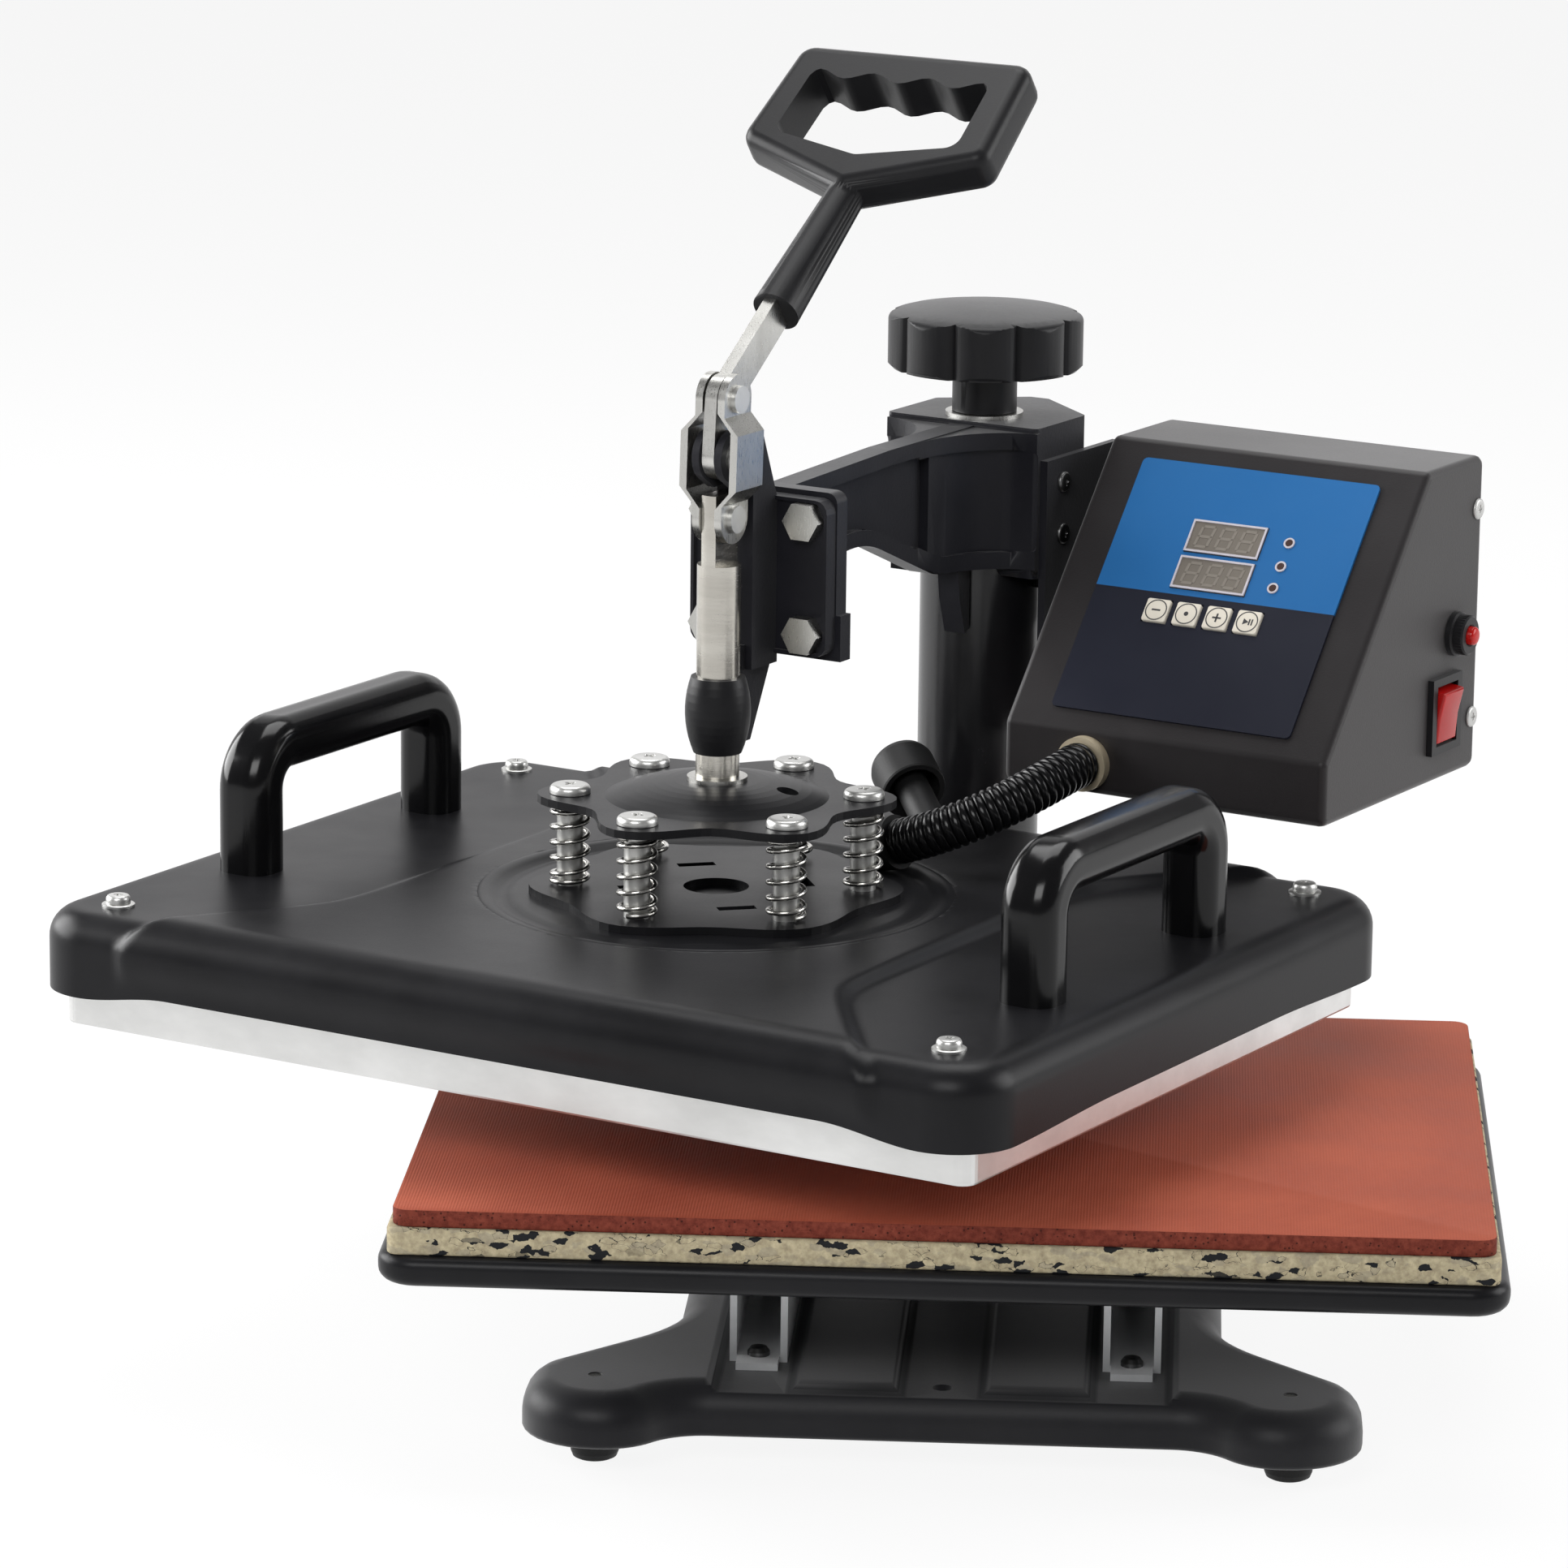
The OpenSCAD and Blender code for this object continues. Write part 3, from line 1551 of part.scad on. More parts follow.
module control_box_shell() {
  corner_r = 4;
  color(black_coat)
    difference() {
      on_arm()
        difference() {
          translate([box_x, 0, 0])
            rotate([90, 0, 90])
              pillow(box_poly, corner_r, 0, box_w, 3, 3, n = 4, steps = 3);
          along_x(box_x + box_wall, box_w - 2 * box_wall)
            polygon(rounded(box_poly, corner_r, box_wall));
          translate([box_x + box_wall, box_back_y - 12, box_z + box_wall])
            cube([box_w - 2 * box_wall, 20, box_h - 2 * box_wall]);
          translate([hose_start.x, box_front_y - 1, hose_start.z])
            rotate([-90, 0, 0])
              cylinder(d = hose_dia - 1 + 2 * fit, h = box_wall + 2);
          translate([box_x + box_w - box_wall - 1, rocker_y, rocker_z])
            cube([2 * box_wall + 4, bezel_w - 3, bezel_h - 3], center = true);
          translate([box_x + box_w - box_wall - 1, breaker_y, breaker_z])
            rotate([0, 90, 0])
              cylinder(d = 12 + 2 * fit, h = box_wall + 2);
          at_side_screws()
            rotate([0, 90, 0])
              translate([0, 0, -10])
                cylinder(d = 4 + 2 * fit, h = 20);
          at_bracket_fixings()
            rotate([0, 90, 0])
              translate([0, 0, -10])
                cylinder(d = 4 + 2 * fit, h = 20);
        }
      for (x = key_xs)
        on_panel(x, key_row, 0)
          cube([key_w + 2, key_h + 2, 8], center = true);
      for (row = display_rows)
        on_panel(display_x, row, 0)
          cube([display_w + 2 * air, display_h + 2 * air, 8], center = true);
      for (row = led_rows)
        on_panel(led_x, row, -4)
          cylinder(d = led_dia + 2 * fit, h = 8);
    }
}

module at_side_screws() {
  for (z = [box_z + 20, box_top - 20])
    translate([box_x + box_w, box_back_y - 5, z])
      children();
}

module at_bracket_screws() {
  for (z = [flange_z - 8, flange_z + 12])
    translate([head_w / 2, -2, z])
      children();
}

module at_bracket_fixings() {
  for (z = [box_z + 76, box_z + 104])
    translate([box_x, box_back_y - 25, z])
      children();
}

// Back of the box: a plate with two folded flanges for the side screws
module control_box_back() {
  w = box_w - 2 * box_wall - 2 * fit;
  h = box_h - 2 * box_wall - 2 * fit;
  color(black_coat)
    on_arm()
      translate([box_x + box_wall + fit, box_back_y, box_z + box_wall + fit])
        difference() {
          union() {
            translate([0, -box_wall, 0])
              cube([w, box_wall, h]);
            for (x = [0, w - box_wall])
              translate([x, -11, 0])
                cube([box_wall, 11, h]);
          }
          translate([w - 10, -5, 0])
            for (z = [20, box_h - 20])
              translate([0, 0, z - box_wall - fit])
                rotate([0, 90, 0])
                  cylinder(d = 4 + 2 * fit, h = 20);
          translate([w / 2, 1, 24])
            rotate([90, 0, 0])
              cylinder(d = 14 + 2 * fit, h = 10);
        }
}

module panel_overlay() {
  color("#2f3d52")
    difference() {
      on_panel(panel_w / 2, panel_h / 2, 0)
        linear_extrude(panel_t)
          polygon(rounded(rect_points(panel_w, panel_h), 2, n = 3));
      for (x = key_xs)
        on_panel(x, key_row, 0)
          cube([key_w + 2 * air, key_h + 2 * air, 8], center = true);
      for (row = display_rows)
        on_panel(display_x, row, 0)
          cube([display_w + 2 * air, display_h + 2 * air, 8], center = true);
      for (row = led_rows)
        on_panel(led_x, row, -1)
          cylinder(d = led_dia + 2 * fit, h = 8);
    }
}

module display_windows() {
  color("#6d7378")
    for (row = display_rows)
      on_panel(display_x, row, board_z + board_t)
        translate([-display_w / 2, -display_h / 2, 0])
          cube([display_w, display_h, panel_t + 0.3 - board_z - board_t]);
}

module indicator_leds() {
  color("#e8e8e0")
    for (row = led_rows)
      on_panel(led_x, row, board_z + board_t) {
        cylinder(d = led_dia, h = panel_t + 0.4 - board_z - board_t);
        cylinder(d = led_dia + 1.5, h = 3);
      }
}

module control_board() {
  color("#1f5a34")
    on_panel(panel_w / 2, 50, board_z)
      linear_extrude(board_t)
        polygon(rounded(rect_points(86, 70), 2, n = 3));
}

// One key of the panel; its plunger reaches close to the board
module key(x) {
  color("#c9ccd0")
    on_panel(x, key_row, -3)
      translate([-key_w / 2, -key_h / 2, 0])
        cube([key_w, key_h, 3 + panel_t + 1]);
}

module key_minus() {
  key(key_xs[0]);
}

module key_mode() {
  key(key_xs[1]);
}

module key_plus() {
  key(key_xs[2]);
}

module key_start() {
  key(key_xs[3]);
}

module rocker_bezel() {
  color(black_plastic)
    on_arm()
      translate([box_x + box_w, rocker_y, rocker_z])
        difference() {
          union() {
            translate([0, -bezel_w / 2, -bezel_h / 2])
              cube([bezel_t, bezel_w, bezel_h]);
            translate([-20, -bezel_w / 2 + 2, -bezel_h / 2 + 2])
              cube([20.5, bezel_w - 4, bezel_h - 4]);
          }
          translate([-16, -bezel_w / 2 + 3.5, -rocker_r - air])
            cube([20, bezel_w - 7, 2 * (rocker_r + air)]);
        }
}

// Rocker: a drum with two flats that meet in a shallow vee, tipped to its off side
module power_rocker() {
  face = 6;
  color("#c81e1e")
    on_arm()
      translate([box_x + box_w - 1.5, rocker_y, rocker_z])
        rotate([0, rocker_tilt, 0])
          difference() {
            rotate([90, 0, 0])
              cylinder(r = rocker_r, h = bezel_w - 7 - 2 * air, center = true);
            for (side = [-1, 1])
              rotate([0, side * rocker_tilt, 0])
                translate([face + 20, 0, -side * 20])
                  cube([40, 60, 40], center = true);
          }
}

module breaker_body() {
  color(black_plastic)
    on_arm()
      translate([box_x + box_w, breaker_y, breaker_z])
        rotate([0, 90, 0])
          difference() {
            union() {
              cylinder(d = 17, h = 3);
              translate([0, 0, 3])
                cylinder(d = 15, h = 4, $fn = 6);
              translate([0, 0, -box_wall - 16])
                cylinder(d = 12, h = 18);
            }
            translate([0, 0, -14])
              cylinder(d = button_dia + 2 * air, h = 30);
          }
}

module reset_button() {
  color("#d02a20")
    on_arm()
      translate([box_x + box_w - 9, breaker_y, breaker_z])
        rotate([0, 90, 0])
          cylinder(d = button_dia, h = 22);
}

module box_screws() {
  color(steel)
    on_arm() {
      at_side_screws()
        rotate([0, 90, 0])
          pan_screw(8, 2.4, 4, 6);
      at_bracket_screws()
        translate([3, 0, 0])
          rotate([0, 90, 0])
            pan_screw(8, 2.4, 4, 12);
      at_bracket_fixings()
        translate([box_wall, 0, 0])
          rotate([0, 90, 0])
            pan_screw(8, 2.4, 4, 5);
    }
}

// Bracket between the head and the box: two plates and the web that joins them
module box_bracket() {
  t = 3;
  gap = box_x - head_w / 2;
  color(black_coat)
    on_arm()
      difference() {
        translate([head_w / 2, 0, box_z + 40])
          linear_extrude(box_h - 48)
            polygon([[0, -14], [t, -14], [t, box_back_y - 15 - t], [gap - t, box_back_y - 15 - t],
              [gap - t, box_back_y - 36], [gap, box_back_y - 36], [gap, box_back_y - 15],
              [0, box_back_y - 15]]);
        at_bracket_screws()
          rotate([0, 90, 0])
            translate([0, 0, -1])
              cylinder(d = 4 + 2 * fit, h = 6);
        at_bracket_fixings()
          rotate([0, -90, 0])
            translate([0, 0, -1])
              cylinder(d = 4 + 2 * fit, h = 6);
      }
}

module hose_grommet() {
  color("#b79b6a")
    on_arm()
      translate(hose_start + [0, grommet_t, 0])
        rotate([90, 0, 0])
          difference() {
            union() {
              cylinder(d = hose_dia + 3.6, h = grommet_t);
              translate([0, 0, -box_wall])
                cylinder(d = hose_dia - 1, h = box_wall + 1);
            }
            translate([0, 0, -box_wall - 1])
              cylinder(d = hose_bore, h = 20);
          }
}

// The ribbed hose: crests and hollows along its route, and a smooth bore
hose_mid_steps = 24;
hose_mid = [for (i = [0:hose_mid_steps]) bezier(hose_p0, hose_p1, hose_p2, hose_p3, i / hose_mid_steps)];
hose_line = concat([hose_start], hose_mid, [hose_end]);
function running(path, i = 0, total = 0) =
  i == len(path) - 1 ? [total]
  : concat([total], running(path, i + 1, total + norm(path[i + 1] - path[i])));
hose_run = running(hose_line);
hose_length = hose_run[len(hose_run) - 1];
function at_run(s) =
  let (i = max([for (k = [0:len(hose_line) - 2]) if (hose_run[k] <= s) k]))
  hose_line[i] + (hose_line[i + 1] - hose_line[i]) * (s - hose_run[i]) / (hose_run[i + 1] - hose_run[i]);
hose_ribs = floor(hose_length / rib_pitch);
hose_path = [for (i = [0:2 * hose_ribs]) at_run(i * hose_length / (2 * hose_ribs))];
hose_radii = [for (i = [0:2 * hose_ribs]) hose_dia / 2 - (i % 2 == 0 ? rib_depth : 0)];
bore_path = [for (i = [0:hose_ribs]) at_run(i * hose_length / hose_ribs)];
hose_aside = [-1, 1, 1];

module lead_hose() {
  ends = [[0, 1, 0], -hose_dir];
  bore_line = concat([hose_start + ends[0]], bore_path, [hose_end + ends[1]]);
  color(rubber)
    on_arm()
      difference() {
        skin(tube_rings(hose_path, hose_radii, 8, hose_aside));
        skin(tube_rings(bore_line, [for (p = bore_line) hose_bore / 2], 8, hose_aside));
      }
}

module power_inlet() {
  color(black_plastic)
    on_arm()
      translate([box_x + box_w / 2, box_back_y, box_z + box_wall + fit + 24])
        rotate([-90, 0, 0])
          difference() {
            union() {
              cylinder(d = 20, h = 4);
              translate([0, 0, -8])
                cylinder(d = 14, h = 9);
            }
            translate([0, 0, -9])
              cylinder(d = 8, h = 20);
          }
}

base_frame();
rubber_feet();
foot_screws();
bed_rails();
rail_screws();
bed_tray();
tray_studs();
foam_pad();
silicone_pad();
column();
column_bolts();
column_nut();
stop_collar();
thrust_collar();
knob();
lift_screw();
swing_arm();
head_washer();
toggle_body();
plunger_guide();
toggle_bolts();
pivot_pin();
control_box_shell();
control_box_back();
panel_overlay();
display_windows();
indicator_leds();
control_board();
rocker_bezel();
breaker_body();
box_screws();
box_bracket();
hose_grommet();
lead_hose();
power_inlet();
lever_bar();
lever_grip();
links();
link_rivets();
plunger_rod();
plunger_washer();
plunger_nut();
spring_plate_upper();
spring_plate_lower();
spring_bolts();
springs();
platen_cover();
heat_platen();
heating_element();
insulation_blanket();
cover_screws();
platen_handles();
handle_bolts();
lead_boot();
key_minus();
key_mode();
key_plus();
key_start();
power_rocker();
reset_button();
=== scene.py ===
"""Dresses the heat press: finishes for the CAD nodes, and the pieces that need finer shapes."""
import bpy
import bmesh
import math
from mathutils import Matrix, Vector


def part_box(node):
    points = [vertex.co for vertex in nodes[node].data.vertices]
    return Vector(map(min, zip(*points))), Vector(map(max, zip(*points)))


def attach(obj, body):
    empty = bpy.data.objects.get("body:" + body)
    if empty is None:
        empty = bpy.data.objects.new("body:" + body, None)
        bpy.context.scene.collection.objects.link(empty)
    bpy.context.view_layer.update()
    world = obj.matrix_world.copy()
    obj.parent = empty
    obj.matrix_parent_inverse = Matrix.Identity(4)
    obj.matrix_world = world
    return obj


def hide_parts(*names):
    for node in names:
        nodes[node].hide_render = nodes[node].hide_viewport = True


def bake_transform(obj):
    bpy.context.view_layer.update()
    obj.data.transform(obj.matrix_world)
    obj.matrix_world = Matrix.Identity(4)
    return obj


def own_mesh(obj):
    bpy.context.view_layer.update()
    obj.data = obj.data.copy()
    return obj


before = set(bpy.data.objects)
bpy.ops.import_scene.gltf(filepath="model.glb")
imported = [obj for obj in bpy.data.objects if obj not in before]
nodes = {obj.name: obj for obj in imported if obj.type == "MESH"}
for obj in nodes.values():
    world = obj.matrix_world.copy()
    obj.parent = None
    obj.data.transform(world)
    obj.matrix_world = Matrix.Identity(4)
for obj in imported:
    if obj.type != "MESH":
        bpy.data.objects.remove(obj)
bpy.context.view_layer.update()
MM = 0.001


def shift(x, y, z):
    return Matrix.Translation((x, y, z))


def turn(degrees, axis):
    return Matrix.Rotation(math.radians(degrees), 4, axis)


# Places on the press, in millimetres, as the CAD model has them

REST_SWING = math.radians(28.2)
ARM_REACH = 190.0
HEAD_W = 66.0
PAD_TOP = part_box("silicone_pad")[1].z / MM
BED_MIDDLE = (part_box("silicone_pad")[0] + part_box("silicone_pad")[1]) / 2 / MM
PLATEN_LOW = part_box("heat_platen")[0].z / MM
COVER_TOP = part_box("platen_handles")[0].z / MM
PLATEAU_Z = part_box("platen_cover")[1].z / MM
SPRING_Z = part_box("springs")[0].z / MM
SPRING_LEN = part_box("springs")[1].z / MM - SPRING_Z
BOLTS, FIRST_BOLT, BOLT_CIRCLE_R, BOLT_HEAD_H = 6, 30, 53.4, 3.5
BOLT_SEAT_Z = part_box("spring_bolts")[1].z / MM - BOLT_HEAD_H
BOX_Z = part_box("control_box_shell")[0].z / MM
BOX_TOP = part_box("control_box_shell")[1].z / MM
BOX_X, BOX_W = 50.0, 134.5
BOX_RIGHT = BOX_X + BOX_W
BOX_BACK, BOX_FRONT, BOX_TOP_FRONT = 57.0, -68.0, 11.0
BAND_Z = BOX_Z + 24
SLOPE = math.atan2(BOX_TOP - BAND_Z, BOX_TOP_FRONT - BOX_FRONT)
SLOPE_LEN = math.hypot(BOX_TOP - BAND_Z, BOX_TOP_FRONT - BOX_FRONT)
PANEL_W, PANEL_H, PANEL_T = 100.0, 108.0, 1.0
PANEL_TOP = (SLOPE_LEN - PANEL_H) / 2

BED = shift(BED_MIDDLE.x, BED_MIDDLE.y, 0)
ARM = BED @ shift(0, ARM_REACH, 0) @ Matrix.Rotation(-REST_SWING, 4, "Z")
PLATEN = ARM @ shift(0, -ARM_REACH, 0)
PANEL = (ARM @ shift(BOX_X + (BOX_W - PANEL_W) / 2, BOX_TOP_FRONT, BOX_TOP)
         @ Matrix.Rotation(SLOPE, 4, "X"))


def on_panel(across, down, out):
    """Frame of a point on the sloped panel: from its left edge, from its top, out of it."""
    return PANEL @ shift(across, -PANEL_TOP - down, out)


def bolt_place(i, height):
    """Frame of one of the sprung bolts, at a height over the platen."""
    around = turn(FIRST_BOLT + 360 / BOLTS * i, "Z")
    return PLATEN @ around @ shift(BOLT_CIRCLE_R, 0, height)


def new_object(name, data):
    made = bpy.data.objects.new(name, data)
    bpy.context.scene.collection.objects.link(made)
    return made


# Camera, at the photograph's viewpoint: fitted to the bed pad and the open platen, and placed
# from the middle of the pad's top; the lens comes from the focal length in pixels

PITCH, YAW, ROLL = math.radians(13.35), math.radians(-3.26), math.radians(0.68)
CAMERA_X, CAMERA_Y, CAMERA_Z = 73.3, -2413.8, 693.9
SENSOR_MM, FOCAL_PX, PICTURE_PX = 36, 8515, 1932


def add_camera():
    ahead = Vector((math.sin(YAW) * math.cos(PITCH), math.cos(YAW) * math.cos(PITCH),
                    -math.sin(PITCH)))
    right = Vector((math.cos(YAW), -math.sin(YAW), 0))
    up = right.cross(ahead)
    across = right * math.cos(ROLL) + up * math.sin(ROLL)
    upward = up * math.cos(ROLL) - right * math.sin(ROLL)
    place = Vector((CAMERA_X + BED_MIDDLE.x, CAMERA_Y + BED_MIDDLE.y, CAMERA_Z + PAD_TOP)) * MM
    data = bpy.data.cameras.new("photo_camera")
    data.sensor_width = SENSOR_MM
    data.lens = SENSOR_MM * FOCAL_PX / PICTURE_PX
    data.clip_start, data.clip_end = 0.1, 60
    camera = new_object("photo_camera", data)
    basis = Matrix((across, upward, -ahead)).transposed().to_4x4()
    camera.matrix_world = Matrix.Translation(place) @ basis
    bpy.context.scene.camera = camera


add_camera()


# Shader node helpers

def add_node(tree, kind, **settings):
    made = tree.nodes.new(kind)
    for key, value in settings.items():
        setattr(made, key, value)
    return made


def feed(tree, source, socket):
    """Links a socket to another one, or sets it to a value."""
    if isinstance(source, bpy.types.NodeSocket):
        tree.links.new(source, socket)
    else:
        socket.default_value = source


def math_node(tree, operation, *values):
    made = add_node(tree, "ShaderNodeMath", operation=operation)
    for socket, value in zip(made.inputs, values):
        feed(tree, value, socket)
    return made.outputs[0]


def noise_node(tree, vector, scale, detail=2.0, rough=0.5):
    made = add_node(tree, "ShaderNodeTexNoise")
    for name, value in (("Vector", vector), ("Scale", scale), ("Detail", detail),
                        ("Roughness", rough)):
        feed(tree, value, made.inputs[name])
    return made.outputs


def cell_node(tree, vector, scale, **settings):
    made = add_node(tree, "ShaderNodeTexVoronoi", **settings)
    made.inputs["Scale"].default_value = scale
    feed(tree, vector, made.inputs["Vector"])
    return made.outputs


def split_node(tree, kind, source):
    made = add_node(tree, kind)
    feed(tree, source, made.inputs[0])
    return made.outputs


def map_range(tree, value, from_low, from_high, to_low=0.0, to_high=1.0):
    made = add_node(tree, "ShaderNodeMapRange")
    for socket, number in zip(made.inputs, (value, from_low, from_high, to_low, to_high)):
        feed(tree, number, socket)
    return made.outputs[0]


def mix_colour(tree, factor, a, b):
    made = add_node(tree, "ShaderNodeMix", data_type="RGBA")
    feed(tree, factor, made.inputs[0])
    for socket, value in zip(made.inputs[6:8], (a, b)):
        feed(tree, (*value, 1) if isinstance(value, tuple) else value, socket)
    return made.outputs[2]


def about_zero(tree, noise, share):
    """A noise moved to lie about zero, and scaled."""
    return math_node(tree, "MULTIPLY", math_node(tree, "SUBTRACT", noise, 0.5), share)


# Shader groups that the finishes share

def effect_group(name, **numbers):
    """A shader group with a vector and some numbers as inputs; gives its tree and both ends."""
    tree = bpy.data.node_groups.new(name, "ShaderNodeTree")
    tree.interface.new_socket("Vector", in_out="INPUT", socket_type="NodeSocketVector")
    for label, value in numbers.items():
        socket = tree.interface.new_socket(label, in_out="INPUT", socket_type="NodeSocketFloat")
        socket.default_value = value
    for label in ("Height", "Roughness", "Tone"):
        tree.interface.new_socket(label, in_out="OUTPUT", socket_type="NodeSocketFloat")
    given, out = add_node(tree, "NodeGroupInput"), add_node(tree, "NodeGroupOutput")
    return tree, given.outputs, out.inputs


def make_orange_peel():
    """Skin of a sprayed coat: a fine peel, broad soft waves and a slow change of gloss."""
    tree, given, out = effect_group("orange_peel", Peel=900.0, Gloss=0.35, Spread=0.1)
    peel = noise_node(tree, given["Vector"], given["Peel"], 3.0, 0.6)["Fac"]
    wave = noise_node(tree, given["Vector"], 60.0)["Fac"]
    slow = noise_node(tree, given["Vector"], 14.0, 4.0, 0.65)["Fac"]
    feed(tree, math_node(tree, "MULTIPLY_ADD", wave, 0.6, peel), out["Height"])
    swing = about_zero(tree, slow, given["Spread"])
    broad = math_node(tree, "MULTIPLY_ADD", swing, 2.0, given["Gloss"])
    feed(tree, math_node(tree, "ADD", broad, about_zero(tree, peel, 0.08)), out["Roughness"])
    feed(tree, slow, out["Tone"])
    return tree


def make_drawn_metal():
    """Fine lines along one direction, as on drawn or ground metal, with faint stains."""
    tree, given, out = effect_group("drawn_metal", Lines=2200.0, Gloss=0.3, Spread=0.2)
    lines = noise_node(tree, given["Vector"], given["Lines"], 2.0, 0.55)["Fac"]
    stain = noise_node(tree, given["Vector"], 45.0, 4.0, 0.6)["Fac"]
    feed(tree, lines, out["Height"])
    swing = about_zero(tree, lines, given["Spread"])
    feed(tree, math_node(tree, "ADD", given["Gloss"], swing), out["Roughness"])
    feed(tree, stain, out["Tone"])
    return tree


ORANGE_PEEL = make_orange_peel()
DRAWN_METAL = make_drawn_metal()


def place_group(tree, group, vector, **values):
    made = add_node(tree, "ShaderNodeGroup", node_tree=group)
    feed(tree, vector, made.inputs["Vector"])
    for name, value in values.items():
        made.inputs[name].default_value = value
    return made.outputs


# Finishes

def start_material(name, specular=0.5, metallic=0.0, sheen=0.0):
    made = bpy.data.materials.new(name)
    made.use_nodes = True
    tree = made.node_tree
    shader = tree.nodes["Principled BSDF"].inputs
    shader["Specular IOR Level"].default_value = specular
    shader["Metallic"].default_value = metallic
    shader["Sheen Weight"].default_value = sheen
    place = add_node(tree, "ShaderNodeTexCoord").outputs["Object"]
    return made, tree, shader, place


def add_bump(tree, shader, height, strength, distance):
    bump = add_node(tree, "ShaderNodeBump")
    bump.inputs["Strength"].default_value = strength
    bump.inputs["Distance"].default_value = distance
    feed(tree, height, bump.inputs["Height"])
    feed(tree, bump.outputs[0], shader["Normal"])


def coat_material(name, dark, light, gloss, spread, peel, bump, specular=0.5, sheen=0.0):
    """A sprayed or moulded skin: two close tones, an uneven gloss and a fine peel."""
    made, tree, shader, place = start_material(name, specular, sheen=sheen)
    skin = place_group(tree, ORANGE_PEEL, place, Peel=peel, Gloss=gloss, Spread=spread)
    tone = map_range(tree, skin["Tone"], 0.35, 0.65)
    feed(tree, mix_colour(tree, tone, dark, light), shader["Base Color"])
    feed(tree, skin["Roughness"], shader["Roughness"])
    add_bump(tree, shader, skin["Height"], bump, 0.0002)
    return made


def metal_material(name, dark, light, gloss, spread, stretch, lines=2200.0, bump=0.15,
                   metallic=1.0, sheen=0.0):
    """Bare metal with lines along the axis that stretch makes long."""
    made, tree, shader, place = start_material(name, metallic=metallic, sheen=sheen)
    mapping = add_node(tree, "ShaderNodeMapping")
    mapping.inputs["Rotation"].default_value = (0, 0, REST_SWING)
    mapping.inputs["Scale"].default_value = stretch
    feed(tree, place, mapping.inputs["Vector"])
    drawn = place_group(tree, DRAWN_METAL, mapping.outputs[0], Lines=lines, Gloss=gloss,
                        Spread=spread)
    tone = map_range(tree, drawn["Tone"], 0.3, 0.7)
    feed(tree, mix_colour(tree, tone, dark, light), shader["Base Color"])
    feed(tree, drawn["Roughness"], shader["Roughness"])
    add_bump(tree, shader, drawn["Height"], bump, 0.0001)
    return made


def silicone_material():
    """Red silicone sheet with a fine moulded weave, in diagonal rows, and a faint bloom; painted
    shade darkens the weave's low parts.
    """
    made, tree, shader, place = start_material("red_silicone", specular=0.2)
    split = split_node(tree, "ShaderNodeSeparateXYZ", place)
    weave_per_metre = 3000.0
    waves = []
    for operation in ("ADD", "SUBTRACT"):
        rows = math_node(tree, operation, split["X"], split["Y"])
        rows = math_node(tree, "MULTIPLY", rows, weave_per_metre)
        waves.append(math_node(tree, "SINE", rows))
    weave = math_node(tree, "MULTIPLY", *waves)
    bloom = noise_node(tree, place, 22.0, 5.0, 0.6)["Fac"]
    crumb = noise_node(tree, place, 1400.0, 2.0, 0.6)["Fac"]
    shade = map_range(tree, math_node(tree, "MULTIPLY_ADD", crumb, 0.25, bloom), 0.45, 0.8)
    colour = mix_colour(tree, shade, (0.34, 0.072, 0.038), (0.42, 0.100, 0.054))
    # Painted shade: the colour darkens towards the low parts of the weave, where the bump sinks.
    weave_low_shade = map_range(tree, weave, -1.0, 1.0, 0.12, 0.0)
    feed(tree, mix_colour(tree, weave_low_shade, colour, (0.10, 0.02, 0.012)), shader["Base Color"])
    feed(tree, map_range(tree, bloom, 0.3, 0.7, 0.6, 0.75), shader["Roughness"])
    add_bump(tree, shader, math_node(tree, "MULTIPLY_ADD", crumb, 0.8, weave), 0.3, 0.0002)
    return made


def cut_silicone_material():
    """Cut edge of the silicone sheet: darker, sponge-like, with small pores sunk in the bump and
    darkened by painted shade.
    """
    made, tree, shader, place = start_material("cut_silicone", specular=0.15)
    pores = cell_node(tree, place, 720.0)
    part = split_node(tree, "ShaderNodeSeparateColor", pores["Color"])
    hole = map_range(tree, pores["Distance"], 0.18, 0.34, 1.0, 0.0)
    some = map_range(tree, part["Red"], 0.66, 0.70, 0.0, 0.85)
    pore_depth_and_shade = math_node(tree, "MULTIPLY", hole, some)
    mottle = noise_node(tree, place, 420.0, 4.0, 0.65)["Fac"]
    body = mix_colour(tree, map_range(tree, mottle, 0.35, 0.65),
                      (0.12, 0.022, 0.014), (0.21, 0.046, 0.028))
    # Painted shade: the pores are darkened in the colour, as well as sunk in the bump.
    feed(tree, mix_colour(tree, pore_depth_and_shade, body, (0.030, 0.008, 0.006)), shader["Base Color"])
    shader["Roughness"].default_value = 0.8
    add_bump(tree, shader, math_node(tree, "SUBTRACT", mottle, pore_depth_and_shade), 0.5, 0.0005)
    return made


